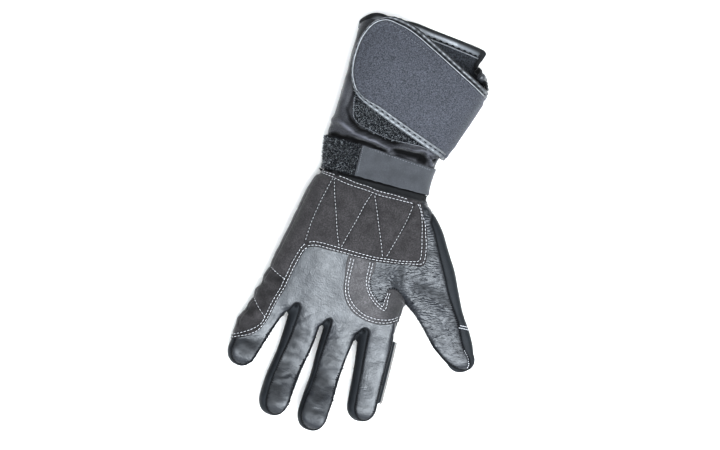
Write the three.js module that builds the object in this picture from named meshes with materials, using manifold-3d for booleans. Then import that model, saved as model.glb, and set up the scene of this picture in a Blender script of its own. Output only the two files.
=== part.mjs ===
// A left-hand winter riding glove with a gauntlet cuff, lying on its back with the palm up.
// Millimetres, +Z up. +Y runs from the fingertips to the cuff's mouth, +X to the thumb side,
// and z = 0 is the surface that it lies on. The hand and the cuff are lofted through short
// tables of sections, hollowed by the same lofts taken in by the wall, and then cut into the
// panels that such a glove is sewn from.
import * as THREE from "three";
import { mergeVertices } from "three/addons/utils/BufferGeometryUtils.js";
import Module from "manifold-3d";

const wasm = await Module();
wasm.setup();

// Driving dimensions
const wall = 2.4; // leather or cloth with the insulation behind it
const gap = 0.3; // left between neighbouring pieces
const overlay = 1.4; // thickness of a panel sewn on top of another
const tape = 1.3; // loop tape, and the wrist strap
const flapWall = 2.4;
const bindingRise = 0.7; // how far a binding stands proud of the flap it edges
const backSeam = 6; // height of the seam between the back and the side strips
const faceFloor = 10.5; // the palm face's panels lie above this height
const wristLine = 37; // where the hand is sewn to the cuff
const flapFoot = 7; // the flap is sewn down the thumb side at this height
const cuffSeam = 15; // height of the seams down the cuff's two sides
const palmSideFloor = 20; // the cuff's palm side stops short of the mouth above this height
const above = 70; // higher than any piece
const beyond = 140; // further from the middle than any piece

const squareness = 2.4; // exponent of the rounded sections
const fingerSides = 12;
const handSides = 24;
const cuffSides = 28;
const tipRings = 2;

// Across the hand, from inside the cuff to the finger roots: y, edges, height of the top
const handSections = [
  { y: 48, left: -59, right: 29, top: 32 },
  { y: 36, left: -61, right: 30, top: 33 },
  { y: 22, left: -65.5, right: 31, top: 34.5 },
  { y: 2, left: -70, right: 33, top: 36 },
  { y: -20, left: -74.5, right: 33, top: 36 },
  { y: -42, left: -79.5, right: 32, top: 33 },
  { y: -62, left: -84.5, right: 31, top: 29 },
  { y: -72, left: -86, right: 31, top: 27 },
];
const handEnd = 11; // how far the rounded end of the palm reaches past its last section

// Along each finger, from inside the palm to the tip: centre, half width, height of the underside and top
const fingers = {
  pinky: {
    tip: 15,
    sections: [
      { x: -69, y: -56, half: 11, low: 0, top: 24 },
      { x: -74, y: -77, half: 13.8, low: 0, top: 23.5 },
      { x: -80.2, y: -95, half: 13.6, low: 0, top: 22 },
      { x: -84.8, y: -110, half: 13.4, low: 1, top: 22 },
      { x: -87.3, y: -121, half: 12.6, low: 2.5, top: 23 },
    ],
  },
  ring: {
    tip: 15,
    sections: [
      { x: -44, y: -58, half: 11, low: 0, top: 26 },
      { x: -44.5, y: -82, half: 14, low: 0, top: 25.5 },
      { x: -45.6, y: -102, half: 13.9, low: 0, top: 23.5 },
      { x: -48.4, y: -120, half: 13, low: 0, top: 22.5 },
      { x: -51.5, y: -140, half: 13.4, low: 2, top: 24 },
      { x: -52.6, y: -154, half: 13, low: 4.5, top: 26 },
    ],
  },
  middle: {
    tip: 14.5,
    sections: [
      { x: -14, y: -58, half: 11, low: 0, top: 26 },
      { x: -14.4, y: -88, half: 14, low: 0, top: 25 },
      { x: -16.1, y: -110, half: 12.9, low: 0, top: 23.5 },
      { x: -17, y: -130, half: 12.3, low: 0.5, top: 23 },
      { x: -18.2, y: -146, half: 12.9, low: 2.5, top: 24.5 },
      { x: -19.2, y: -159, half: 12.7, low: 4.5, top: 26 },
    ],
  },
  index: {
    tip: 13.5,
    sections: [
      { x: 14.5, y: -56, half: 11, low: 0, top: 25 },
      { x: 16.2, y: -88, half: 14.7, low: 0, top: 25 },
      { x: 17.4, y: -110, half: 13.5, low: 0, top: 23.5 },
      { x: 18, y: -129, half: 13, low: 1, top: 23.5 },
      { x: 18.5, y: -143, half: 12.6, low: 3, top: 25 },
    ],
  },
  thumb: {
    tip: 11,
    sections: [
      { x: 17.5, y: 22.6, half: 13, low: 0, top: 29 },
      { x: 20.5, y: 13, half: 20, low: 0, top: 32.5 },
      { x: 24.5, y: 2, half: 25, low: 0, top: 35.5 },
      { x: 36, y: -18, half: 25.8, low: 0, top: 37 },
      { x: 44.6, y: -30.6, half: 25, low: 0, top: 35 },
      { x: 54, y: -42.6, half: 21.5, low: 0, top: 32 },
      { x: 64.9, y: -57.3, half: 18, low: 0, top: 28.5 },
      { x: 78.2, y: -75, half: 16, low: 0.5, top: 26 },
      { x: 83.6, y: -81.3, half: 14, low: 1.5, top: 25 },
      { x: 88, y: -86.8, half: 11.8, low: 3, top: 23.5 },
    ],
  },
};
const thumbAcross = { x: 0.826, y: 0.564 }; // every section of the thumb lies along this

// Along the cuff, from inside the hand to past the mouth: y, edges, height of the top
const cuffSections = [
  { y: 30, left: -59, right: 28, top: 31.5 },
  { y: 40, left: -59, right: 28, top: 30 },
  { y: 56, left: -61.5, right: 28.5, top: 30 },
  { y: 68, left: -63, right: 30.5, top: 32.5 },
  { y: 80, left: -61, right: 34, top: 36 },
  { y: 100, left: -59.4, right: 41.2, top: 39.5 },
  { y: 120, left: -60, right: 48.3, top: 42 },
  { y: 132, left: -60.3, right: 52.2, top: 43 },
  { y: 150, left: -59.6, right: 49.5, top: 43 },
  { y: 178, left: -58.5, right: 46.5, top: 42 },
];

// Outlines seen from above. Every second number of a pair is y.
const mouthOutline = [
  [-60, 150], [-58.4, 160], [-54.5, 167.5], [-49.5, 172], [-44, 173.3], [-33, 171.8],
  [-15, 172.6], [0, 170.5], [20, 168], [40, 164.6], [45, 163.5], [46.5, 160], [46.2, 154],
  [46.5, 148], [50.5, 144.5], [55, 137], [60, 130],
];
const mouthSeam = [
  [-60.5, 150.4], [-54.4, 150.6], [-52.6, 156], [-49.4, 162.2], [-46, 165.9], [-42.6, 167],
  [-33, 165.4], [-15, 166.2], [0, 164.1], [20, 161.6], [39, 158.2], [40.2, 155.6], [40, 150.8],
  [46.3, 150.5], [46.5, 148], [50.5, 144.5], [55, 137], [60, 130],
];
const palmSideEdge = [[-48, 166], [-32, 165.5], [0, 157.5], [20, 148], [40, 137.5], [60, 124]];

const palmPlan = [
  [-58.6, 36.6], [-63.5, 23], [-68, 3], [-72.4, -19], [-77.4, -41], [-82.6, -62], [-84, -72],
  [-60, -76], [-30, -80], [0, -80], [29.4, -76], [29.6, -60], [33.6, -40], [29, 36.6],
];
const knuckleLine = [[-110, -70], [-86, -73], [-58, -79], [-28, -84], [0, -85], [60, -85]];
const crotchPatchOutline = [
  [-20.6, -24], [-20.6, -45], [-19.4, -53], [-16.6, -60], [-12, -66.2], [-5.5, -71], [3, -74],
  [12, -75.1], [20, -74], [26, -71.6], [32.2, -68], [32.4, -60], [33, -51.4], [27, -45.4],
  [23, -43.3], [18.4, -43.6], [16, -45.4], [15.3, -50], [14, -58], [8, -54.8], [3, -49.7],
  [0.2, -44], [0.2, -24],
];
const thumbFaceOutline = [
  [0.2, -14], [0.2, -44], [3, -49.6], [8, -54.7], [14, -57.8], [15.2, -50], [15.9, -45.3],
  [18.4, -43.4], [23, -43.1], [27, -45.2], [31, -49], [36.5, -53.2], [43, -58], [51, -65.6],
  [57.8, -73], [65.8, -80.8], [73, -86.4], [80.5, -91.4], [87, -94.4], [92.5, -94.9],
  [96.4, -92.6], [96, -88], [94, -84], [90, -80], [86, -74], [82, -66], [78, -57], [74, -51],
  [66, -39], [58, -23], [50, -8], [42, 8], [34, 22], [29, 36], [24, 20], [21.5, 0], [15, -12],
];
const palmPadOutline = [
  [-66, 37], [-50, 36.6], [-30, 34.4], [-12, 32.3], [15, 31.6], [25, 30.4], [30, 20],
  [35.5, 8], [39, -5], [40.2, -18], [38, -20], [28, -21.6], [10, -24.4], [0, -25.4],
  [-40, -25.4], [-50, -25.4], [-56, -28], [-60, -38], [-64.2, -56], [-66, -66], [-69, -74],
  [-71, -82], [-73, -91], [-76, -99], [-80, -105.2], [-86, -109.6], [-93, -112.8],
  [-104, -116.4], [-96, -84], [-90, -55], [-82, -20], [-74, 15],
];
const wristLoopOutline = [[-70, 40], [-33.4, 38.6], [-33.2, 65], [-70, 65.6]];
const wristStrapOutline = [[-33, 38.6], [0, 37.6], [36, 37.6], [36, 60], [0, 62], [-32.8, 65]];
const cuffLoopOutline = [
  [-50, 110], [-48, 100], [-46, 88], [-44, 83], [-38, 79.5], [-25, 76], [-10, 74], [4, 75],
  [16, 75], [28, 71.4], [30, 90], [0, 120], [-30, 120],
];
const flapOutline = [
  [60, 131.5], [50, 138.5], [30, 149], [15, 156.6], [0, 163.5], [-10, 167.6], [-20, 170.4],
  [-30, 171.2], [-37, 170.6], [-43, 168], [-49, 163], [-53.4, 155], [-56, 146], [-57, 136],
  [-57, 127], [-55.6, 118], [-52, 109.5], [-47.5, 103.4], [-41, 99], [-25, 92], [-5, 84],
  [15, 76.4], [30, 71], [44, 66],
];
const flapBinding = 5; // width of the leather binding round the flap
const bindingNoseShare = 0.6; // the binding is this much narrower round the flap's nose
const noseEdge = -45; // the nose is left of this
const bindingEnd = 44; // the binding runs out on the thumb side, right of this
const bindingFoot = 14; // height of the binding's two ends

// The rubber blade for wiping a visor, sewn into the seam on the index finger
const wiperOutline = [
  [27, -80], [31.2, -83.4], [34.2, -86.2], [35.8, -87], [35.8, -112], [35, -126], [34.3, -138.4],
  [32.6, -139.6], [27, -139.6],
];
const wiperHeight = 12.6;
const wiperWall = 1.8;

// Rounded outlines are drawn through their points with this many steps to each stretch
const outlineSteps = 2;
const grain = 0.03; // detail smaller than this is left out

function solidOf(geometry) {
  const bare = new THREE.BufferGeometry();
  bare.setAttribute("position", geometry.getAttribute("position"));
  if (geometry.index) bare.setIndex(geometry.index);
  const merged = mergeVertices(bare, 1e-4);
  const vertProperties = new Float32Array(merged.getAttribute("position").array);
  const triVerts = new Uint32Array(merged.index.array);
  return new wasm.Manifold(new wasm.Mesh({ numProp: 3, vertProperties, triVerts }));
}

function joined(solids) {
  return solids.reduce((all, one) => all.add(one));
}

// A closed body through rings of points, with a flat fan over each end
function loft(rings) {
  const sides = rings[0].length;
  const points = rings.flat();
  const faces = [];
  for (let r = 0; r < rings.length - 1; r++) {
    for (let i = 0; i < sides; i++) {
      const a = r * sides + i;
      const b = r * sides + ((i + 1) % sides);
      faces.push([a, a + sides, b], [b, a + sides, b + sides]);
    }
  }
  for (const end of [0, rings.length - 1]) {
    const middle = rings[end].reduce((sum, p) => sum.add(p), new THREE.Vector3()).divideScalar(sides);
    const hub = points.push(middle) - 1;
    for (let i = 0; i < sides; i++) {
      const a = end * sides + i;
      const b = end * sides + ((i + 1) % sides);
      faces.push(end === 0 ? [hub, a, b] : [hub, b, a]);
    }
  }
  const volume = faces.reduce(
    (sum, [a, b, c]) => sum + points[a].dot(new THREE.Vector3().crossVectors(points[b], points[c])),
    0,
  );
  const facing = volume > 0 ? faces : faces.map(([a, b, c]) => [a, c, b]);
  const geometry = new THREE.BufferGeometry().setFromPoints(points);
  geometry.setIndex(facing.flat());
  return solidOf(geometry);
}

// One rounded section. It is flattened on the surface below, or on the wall's thickness inside.
function ring({ x, y, half, low, top, across }, grow, sides) {
  const middle = low + (top - low) * 0.46;
  const rest = Math.max(0, -grow);
  const points = [];
  for (let i = 0; i < sides; i++) {
    const angle = (2 * Math.PI * (i + 0.5)) / sides;
    const out = Math.sign(Math.cos(angle)) * Math.abs(Math.cos(angle)) ** (2 / squareness);
    const up = Math.sign(Math.sin(angle)) * Math.abs(Math.sin(angle)) ** (2 / squareness);
    const reach = out * (half + grow);
    const depth = up > 0 ? top - middle + grow : (middle - low) * 1.12 + grow;
    const z = Math.max(middle + up * depth, low + rest);
    points.push(new THREE.Vector3(x + across.x * reach, y + across.y * reach, z));
  }
  return points;
}

// A finger: its sections, and then a rounded tip
function fingerLoft({ sections, tip }, grow, across) {
  const last = sections.length - 1;
  const placed = sections.map((s, i) => {
    const before = sections[Math.max(0, i - 1)];
    const after = sections[Math.min(last, i + 1)];
    const way = new THREE.Vector2(after.x - before.x, after.y - before.y).normalize();
    return { ...s, across: across ?? { x: -way.y, y: way.x } };
  });
  const end = placed[last];
  const way = new THREE.Vector2(end.x - placed[last - 1].x, end.y - placed[last - 1].y).normalize();
  const middle = end.low + (end.top - end.low) * 0.46;
  const rings = placed.map((s) => ring(s, grow, fingerSides));
  const start = new THREE.Vector2(placed[1].x - placed[0].x, placed[1].y - placed[0].y).normalize();
  rings[0].forEach((p) => p.add(new THREE.Vector3(start.x, start.y, 0).multiplyScalar(-grow)));
  for (let k = 1; k <= tipRings; k++) {
    const turn = (Math.PI / 2) * (k / (tipRings + 0.35));
    const ahead = (tip + grow) * Math.sin(turn);
    const shrink = Math.cos(turn) ** 0.9;
    const shrunk = rings[last].map(
      (p) =>
        new THREE.Vector3(
          end.x + (p.x - end.x) * shrink + way.x * ahead,
          end.y + (p.y - end.y) * shrink + way.y * ahead,
          middle + (p.z - middle) * shrink,
        ),
    );
    rings.push(shrunk);
  }
  return loft(rings);
}

function acrossSection({ y, left, right, top }) {
  return { x: (left + right) / 2, y, half: (right - left) / 2, low: 0, top, across: { x: 1, y: 0 } };
}

function palmLoft(grow) {
  const placed = handSections.map(acrossSection);
  const end = placed[placed.length - 1];
  const rings = placed.map((s) => ring(s, grow, handSides));
  const middle = end.top * 0.46;
  for (let k = 1; k <= tipRings; k++) {
    const turn = (Math.PI / 2) * (k / (tipRings + 0.35));
    const lower = Math.cos(turn) ** 0.8;
    const ahead = (handEnd + grow) * Math.sin(turn);
    const tucked = rings[placed.length - 1].map(
      (p) =>
        new THREE.Vector3(
          end.x + (p.x - end.x) * (1 - 0.05 * (k / tipRings)),
          end.y - ahead,
          middle + (p.z - middle) * lower,
        ),
    );
    rings.push(tucked);
  }
  return loft(rings);
}

function handBody(grow) {
  const stalls = Object.entries(fingers).map(([name, finger]) =>
    fingerLoft(finger, grow, name === "thumb" ? thumbAcross : undefined),
  );
  return joined([palmLoft(grow), ...stalls]);
}

function cuffBody(grow) {
  return loft(cuffSections.map((s) => ring(acrossSection(s), grow, cuffSides)));
}

// Outlines and the upright prisms that cut panels out of the walls
function smooth(points, steps = outlineSteps) {
  const curve = new THREE.CatmullRomCurve3(
    points.map(([x, y]) => new THREE.Vector3(x, y, 0)),
    true,
    "centripetal",
  );
  return curve.getPoints(points.length * steps).slice(0, -1).map((p) => [p.x, p.y]);
}

function prism(points, low, high) {
  const corners = points.filter(([x, y], i) => {
    const [px, py] = points[(i + points.length - 1) % points.length];
    const [nx, ny] = points[(i + 1) % points.length];
    return Math.abs((x - px) * (ny - py) - (y - py) * (nx - px)) > 1e-3;
  });
  const shape = new THREE.Shape(corners.map(([x, y]) => new THREE.Vector2(x, y)));
  const geometry = new THREE.ExtrudeGeometry(shape, { depth: high - low, bevelEnabled: false });
  geometry.translate(0, 0, low);
  return solidOf(geometry);
}

function block(x0, x1, y0, y1, z0, z1) {
  const geometry = new THREE.BoxGeometry(x1 - x0, y1 - y0, z1 - z0);
  geometry.translate((x0 + x1) / 2, (y0 + y1) / 2, (z0 + z1) / 2);
  return solidOf(geometry);
}

// The outline moved out by a distance, or in where it is negative
function outset(points, distance) {
  const turns = THREE.ShapeUtils.area(points.map(([x, y]) => new THREE.Vector2(x, y))) > 0 ? 1 : -1;
  const far = typeof distance === "function" ? distance : () => distance;
  return points.map(([x, y], i) => {
    const [px, py] = points[(i + points.length - 1) % points.length];
    const [nx, ny] = points[(i + 1) % points.length];
    const before = new THREE.Vector2(x - px, y - py).normalize();
    const after = new THREE.Vector2(nx - x, ny - y).normalize();
    const way = before.clone().add(after).normalize();
    const lean = Math.max(0.5, before.dot(way));
    const move = (turns * far(x, y)) / lean;
    return [x + way.y * move, y - way.x * move];
  });
}

// Faces of the fingers seen from above. The seam on the pinky's side of each finger lies well in from its edge.
const faceInset = {
  pinky: { left: [1.5, 1.5, 1.5, 2.4, 3.6], right: 1.1 },
  ring: { left: [5, 8.2, 7.4, 6, 6.4, 6.6], right: 1.1 },
  middle: { left: [6, 7.2, 5.6, 4, 3.4, 3.4], right: 1.1 },
  index: { left: [7, 8, 7, 7, 7], right: 1.6 },
};
const faceTipInset = 1.7;
const faceTipSteps = 7;

function faceOutline(name) {
  const { sections, tip } = fingers[name];
  const { left, right } = faceInset[name];
  const last = sections.length - 1;
  const way = (i) => {
    const before = sections[Math.max(0, i - 1)];
    const after = sections[Math.min(last, i + 1)];
    return new THREE.Vector2(after.x - before.x, after.y - before.y).normalize();
  };
  const edge = (i, out) => [sections[i].x + way(i).y * out, sections[i].y - way(i).x * out];
  const leftEdge = sections.map((s, i) => edge(i, s.half - left[i]));
  const rightEdge = sections.map((s, i) => edge(i, right - s.half));
  const start = leftEdge[last];
  const finish = rightEdge[last];
  const centre = [(start[0] + finish[0]) / 2, (start[1] + finish[1]) / 2];
  const arm = [start[0] - centre[0], start[1] - centre[1]];
  const ahead = way(last);
  const round = [];
  for (let k = 1; k < faceTipSteps; k++) {
    const turn = (Math.PI * k) / faceTipSteps;
    const reach = (tip - faceTipInset) * Math.sin(turn);
    round.push([
      centre[0] + arm[0] * Math.cos(turn) + ahead.x * reach,
      centre[1] + arm[1] * Math.cos(turn) + ahead.y * reach,
    ]);
  }
  return [...leftEdge, ...round, ...rightEdge.reverse()];
}

// The strip of ground between two fingers' centre lines, which holds the fourchette between them
function between(first, second) {
  const line = (name, shift) => {
    const { sections, tip } = fingers[name];
    const end = sections[sections.length - 1];
    const points = sections.map((s) => [s.x + shift, s.y]);
    return [...points, [end.x + shift, end.y - tip - 6]];
  };
  return [...line(first, gap / 2), ...line(second, -gap / 2).reverse()];
}

const thumbTipLine = [[96.7, -91.6], [104, -104]];
const root = new THREE.Group();

function add(name, solid, colour, roughness) {
  const parts = solid.decompose().sort((a, b) => b.volume() - a.volume());
  const kept = parts[0].simplify(grain);
  const { numProp, vertProperties, triVerts } = kept.getMesh();
  const positions = new Float32Array((vertProperties.length / numProp) * 3);
  for (let i = 0; i < positions.length / 3; i++) {
    for (let k = 0; k < 3; k++) positions[i * 3 + k] = vertProperties[i * numProp + k];
  }
  const geometry = new THREE.BufferGeometry();
  geometry.setAttribute("position", new THREE.BufferAttribute(positions, 3));
  geometry.setIndex(new THREE.BufferAttribute(new Uint32Array(triVerts), 1));
  geometry.computeVertexNormals();
  const mesh = new THREE.Mesh(geometry, new THREE.MeshStandardMaterial({ color: colour, roughness }));
  mesh.name = name;
  root.add(mesh);
}

const leather = ["#4b4e56", 0.45];
const suede = ["#403e42", 0.9];
const softshell = ["#2c2f34", 0.9];
const cloth = ["#3c3c44", 0.95];
const loopPile = ["#2c3034", 1];
const rubber = ["#23262c", 0.5];

// Walls of the hand and of the cuff
const handShell = handBody(0)
  .subtract(handBody(-wall))
  .intersect(block(-beyond, beyond, -2 * beyond, wristLine - gap / 2, -1, above));
const cuffOuter = cuffBody(0);
const cuffTube = cuffOuter.subtract(cuffBody(-wall));

// The back, from the finger backs to the wrist, is one panel with a low rim
add(
  "back_panel",
  handShell.intersect(block(-beyond, beyond, -2 * beyond, beyond, -1, backSeam)),
  ...softshell,
);

// The palm's leather runs on into the four finger faces
const upperShell = handShell.intersect(block(-beyond, beyond, -2 * beyond, beyond, faceFloor, above));
const palmOutlines = [palmPlan, ...Object.keys(faceInset).map(faceOutline)];
const palmFace = joined(palmOutlines.map((outline) => prism(outline, faceFloor, above)));
const thumbFace = prism(thumbFaceOutline, faceFloor, above);
const aroundThumb = prism(outset(thumbFaceOutline, gap), 0, above);
const [farSide, nearSide] = [-beyond, beyond];
const pastKnuckles = [...knuckleLine, [nearSide, -2 * beyond], [farSide, -2 * beyond]];
add(
  "palm_leather",
  upperShell.intersect(palmFace).subtract(aroundThumb).subtract(prism(pastKnuckles, 0, above)),
  ...leather,
);
for (const name of Object.keys(faceInset)) {
  add(
    name + "_face",
    upperShell
      .intersect(prism(faceOutline(name), faceFloor, above))
      .intersect(prism(outset(pastKnuckles, -gap), 0, above)),
    ...leather,
  );
}
add("thumb_leather", upperShell.intersect(thumbFace), ...leather);

// Side strips stand between the back and the palm face
const aroundFaces = joined(
  [...palmOutlines, thumbFaceOutline].map((outline) => prism(outset(outline, gap), faceFloor - gap, above)),
);
const strips = handShell
  .intersect(block(-beyond, beyond, -2 * beyond, beyond, backSeam + gap, above))
  .subtract(aroundFaces);

for (const [name, first, second] of [
  ["fourchette_ring_pinky", "pinky", "ring"],
  ["fourchette_middle_ring", "ring", "middle"],
  ["fourchette_index_middle", "middle", "index"],
]) {
  add(name, strips.intersect(prism(between(first, second), 0, above)), ...softshell);
}

const pinkyLine = between("pinky", "ring").slice(0, fingers.pinky.sections.length + 1);
add(
  "pinky_side_strip",
  strips.intersect(
    prism([...pinkyLine.map(([x, y]) => [x - gap, y]), [-beyond, -beyond], [-beyond, 60], [-40, 60]], 0, above),
  ),
  ...softshell,
);
const indexLine = between("middle", "index").slice(-fingers.index.sections.length - 1).reverse();
const thumbLine = fingers.thumb.sections.slice(1).map(({ x, y }) => [x, y]);
add(
  "index_thumb_side_strip",
  strips.intersect(
    prism(
      [
        ...indexLine.map(([x, y]) => [x + gap, y]),
        [60, -beyond],
        ...[...thumbLine, ...thumbTipLine].reverse().map(([x, y]) => [x - gap, y]),
      ],
      0,
      above,
    ),
  ),
  ...softshell,
);
add(
  "thumb_side_panel",
  strips.intersect(prism([[10, 60], ...thumbLine, ...thumbTipLine, [beyond, -60], [beyond, 60]], 0, above)),
  ...softshell,
);

// Panels sewn on top of the palm
const overlayShell = handBody(gap + overlay)
  .subtract(handBody(gap))
  .intersect(block(-beyond, beyond, -2 * beyond, wristLine - gap / 2, faceFloor, above));
const padPrism = prism(smooth(palmPadOutline), 0, above);
add("palm_pad", overlayShell.intersect(padPrism), ...suede);
add(
  "crotch_patch",
  overlayShell
    .intersect(prism(crotchPatchOutline, faceFloor, above))
    .subtract(prism(outset(smooth(palmPadOutline), gap), 0, above)),
  ...suede,
);

// The cuff: a tube whose palm side stops short under the flap
const towardHand = [[beyond, 120], [beyond, 0], [-beyond, 0], [-beyond, 150]];
const mouthPlan = prism([...mouthOutline, ...towardHand], -1, above);
const seamPlan = [...mouthSeam, ...towardHand];
const insideBinding = prism(seamPlan, -1, above);
const openPalmSide = [...palmSideEdge, [beyond, 124], [beyond, 240], [-48, 240]];
const cuffRegion = block(-beyond, beyond, wristLine + gap / 2, 2 * beyond, -1, above);
const sleeve = cuffTube.intersect(insideBinding).intersect(cuffRegion);
add(
  "cuff_back",
  sleeve.intersect(block(-beyond, beyond, 0, 2 * beyond, -1, cuffSeam - gap / 2)),
  ...cloth,
);
add(
  "cuff_palm_side",
  sleeve
    .intersect(block(-beyond, beyond, 0, 2 * beyond, cuffSeam + gap / 2, above))
    .subtract(prism(openPalmSide, palmSideFloor, above)),
  ...cloth,
);
const bindingTube = cuffBody(bindingRise).subtract(cuffBody(-wall - bindingRise));
const bindingPlan = mouthPlan.subtract(prism(outset(seamPlan, gap), -2, above + 1));
add(
  "mouth_binding",
  bindingTube
    .intersect(bindingPlan)
    .intersect(block(-beyond, beyond, 140, 2 * beyond, 0, above))
    .subtract(prism(openPalmSide, palmSideFloor - gap, above)),
  ...leather,
);

// Closures on the cuff
function cuffLayer(from, to) {
  return cuffBody(to).subtract(cuffBody(from));
}
const loopTop = gap + tape;
const flapUnder = loopTop + gap;
const flapTop = flapUnder + flapWall;
const aboveFoot = block(-beyond, beyond, 0, 2 * beyond, flapFoot, above);
const wristLayer = cuffLayer(gap, loopTop).intersect(
  block(-beyond, beyond, wristLine + gap / 2, 2 * beyond, backSeam + gap, above),
);
add("wrist_loop_tape", wristLayer.intersect(prism(wristLoopOutline, 0, above)), ...loopPile);
add("wrist_strap", wristLayer.intersect(prism(wristStrapOutline, 0, above)), ...suede);
add(
  "cuff_loop_patch",
  cuffLayer(gap, loopTop).intersect(prism(smooth(cuffLoopOutline), palmSideFloor, above)),
  ...loopPile,
);
const flapEdge = smooth(flapOutline);
const bindingWidth = (x) => flapBinding * (x < noseEdge ? bindingNoseShare : 1);
const insideFlap = outset(flapEdge, (x) => (x > bindingEnd ? flapBinding : -bindingWidth(x)));
const insideFlapGrown = outset(flapEdge, (x) => (x > bindingEnd ? flapBinding : gap - bindingWidth(x)));
add(
  "closure_flap",
  cuffLayer(flapUnder, flapTop).intersect(prism(insideFlap, 0, above)).intersect(aboveFoot),
  ...cloth,
);
add(
  "flap_binding",
  cuffLayer(flapUnder, flapTop + bindingRise)
    .intersect(prism(flapEdge, 0, above).subtract(prism(insideFlapGrown, -1, above + 1)))
    .intersect(block(-beyond, beyond, 0, 2 * beyond, bindingFoot, above)),
  ...leather,
);

// The wiper blade stands out of the index finger's seam
add(
  "visor_wiper",
  prism(wiperOutline, wiperHeight, wiperHeight + wiperWall).subtract(handBody(gap)),
  ...rubber,
);

export default root;
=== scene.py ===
"""Dresses a winter riding glove: leather, suede, textile, bindings, stitching and looped pile.

The tables hold millimetres in the glove's own frame. +Y runs from the fingertips to the cuff's
mouth, +X to the thumb side, and z = 0 is the surface that the glove lies on, palm up."""

import math
from functools import cache
from itertools import product

import bpy
import numpy as np
from bpy.props import FloatProperty, FloatVectorProperty, PointerProperty
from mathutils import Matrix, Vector
from mathutils.bvhtree import BVHTree
from mathutils.kdtree import KDTree


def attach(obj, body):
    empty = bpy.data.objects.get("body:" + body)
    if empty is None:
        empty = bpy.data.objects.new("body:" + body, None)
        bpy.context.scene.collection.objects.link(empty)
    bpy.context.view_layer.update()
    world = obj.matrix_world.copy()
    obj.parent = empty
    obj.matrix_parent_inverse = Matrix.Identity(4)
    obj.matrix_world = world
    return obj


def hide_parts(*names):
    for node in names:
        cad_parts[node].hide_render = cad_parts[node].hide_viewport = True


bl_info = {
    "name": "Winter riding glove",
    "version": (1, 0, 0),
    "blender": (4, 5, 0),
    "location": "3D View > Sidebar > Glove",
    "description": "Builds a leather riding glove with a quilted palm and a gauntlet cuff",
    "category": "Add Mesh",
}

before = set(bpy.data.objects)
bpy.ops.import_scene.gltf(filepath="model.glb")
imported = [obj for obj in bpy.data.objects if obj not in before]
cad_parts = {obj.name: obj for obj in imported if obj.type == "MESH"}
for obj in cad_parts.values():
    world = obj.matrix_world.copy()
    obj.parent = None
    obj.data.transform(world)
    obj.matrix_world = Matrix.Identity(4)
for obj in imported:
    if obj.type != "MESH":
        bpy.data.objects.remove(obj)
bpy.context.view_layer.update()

METRES = 0.001  # one millimetre

# Form of the hand and cuff
SQUARENESS = 2.4  # exponent of the rounded sections
SHOULDER = 3.0  # the same for the upper halves of the palm and cuff, which are flatter
FINGER_SHOULDERS = (3.3, 14.0)  # and of the fingers: their sloping left side, their flat right one
THUMB_SHOULDERS = (14.0, 7.0)
GRAIN_PITCH = 2.05  # from ridge to ridge of the thumb leather's grain
WAIST = 0.46  # the widest place, as a share of a section's height
HAND_END = 11.0  # how far the palm's rounded end reaches past its last section
HAND_END_MORE = 3.6  # and farther still from the ring finger on
WRIST = 36.6  # the hand's panels end here
FACE_FLOOR = 10.5  # the palm face's panels lie above this height
BACK_SEAM = 6.0  # height of the seam round the back panel
CUFF_WALL = 2.4
LINING_FLOOR = 0.3  # inner sides stay above this height
FLAP_LIFT = 4.3  # top of the flap above the cuff
FLAP_WALL = 2.4
FLAP_FOOT = 7.0  # the flap is sewn down the thumb side at this height
CUFF_START = 35.4  # the cuff begins here, inside the hand
CUFF_MIDDLE = 18.0  # height of the middle of the cuff's hollow
LOWEST = 0.05  # nothing of the hand and cuff lies lower
PAD_LOWER = 1.5  # the palm pad reaches this much lower down the side than the leather faces

# Relief of the surfaces
LEATHER_PUFF = 0.4  # how far the leather rises between its seams
STRIP_SINK = 0.35  # how much lower the side strips lie
UNDER_STRAP = 2.0  # how much lower the leather runs under the strap
HOLE_DEPTH = 3.0  # at the tops of the gaps between the fingers
HOLE_RIM = 0.45
RAY_HEIGHT = 0.24  # of the creases that run out from there
DENT_DRIFT = 3.0  # how far the dents and wrinkles are drawn out of their even rows
GRAIN_HEIGHT = 0.22
GATHER = 72.0  # the cuff is gathered round here
WRIST_GROOVE = 38.2
FLAP_CROWN = 0.9  # how far the flap rises in its middle
FLAP_BEND = 1.8  # how far it bulges where it bends down to its foot
EDGE_RISE = 0.4  # how far the edges of the pad and the patch stand over the leather

# Tapes, bindings and blade
TAPE_FOOT = 0.3  # undersides of the tapes over the cuff
STRAP_TOP = 1.9
LOOP_TOP = 1.3
BORDER_TOP = 1.2
PILE_DENSITY = 1.85  # loops to a square millimetre
YARN_RADIUS = 0.13
BINDING_WIDTH = 5.3
BINDING_NARROWS = 2.4  # how much narrower the flap's binding is round its nose
PROFILE_WIDTH = 5.0  # the binding's section is drawn at this width
PIPING_FROM = 34.0  # the flap's piping lies above this height
BLADE_ENDS = (-86.0, -138.8)
BLADE_HEIGHT = 12.6
BLADE_BOW = 0.24  # how far the blade bows out in its middle
DULLED = 0.6  # how much rougher a seam is than what lies beside it

# y, left edge, right edge, height of the top
HAND_SECTIONS = (
    (48, -59, 29, 32), (36, -61, 30, 33), (22, -65.5, 31, 34.5), (2, -70, 33, 36),
    (-20, -74.5, 33, 36), (-42, -79.5, 32, 33), (-62, -84.5, 31, 29), (-72, -86, 31, 27),
)
CUFF_SECTIONS = (
    (30, -59, 28, 31.5), (40, -59, 28, 30), (56, -61.5, 28.5, 30), (68, -63, 30.5, 32.5),
    (80, -61, 34, 36), (100, -59.4, 41.2, 39.5), (120, -60, 48.3, 42), (132, -60.3, 52.2, 43),
    (150, -59.6, 49.5, 43), (178, -58.5, 46.5, 42),
)

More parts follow.
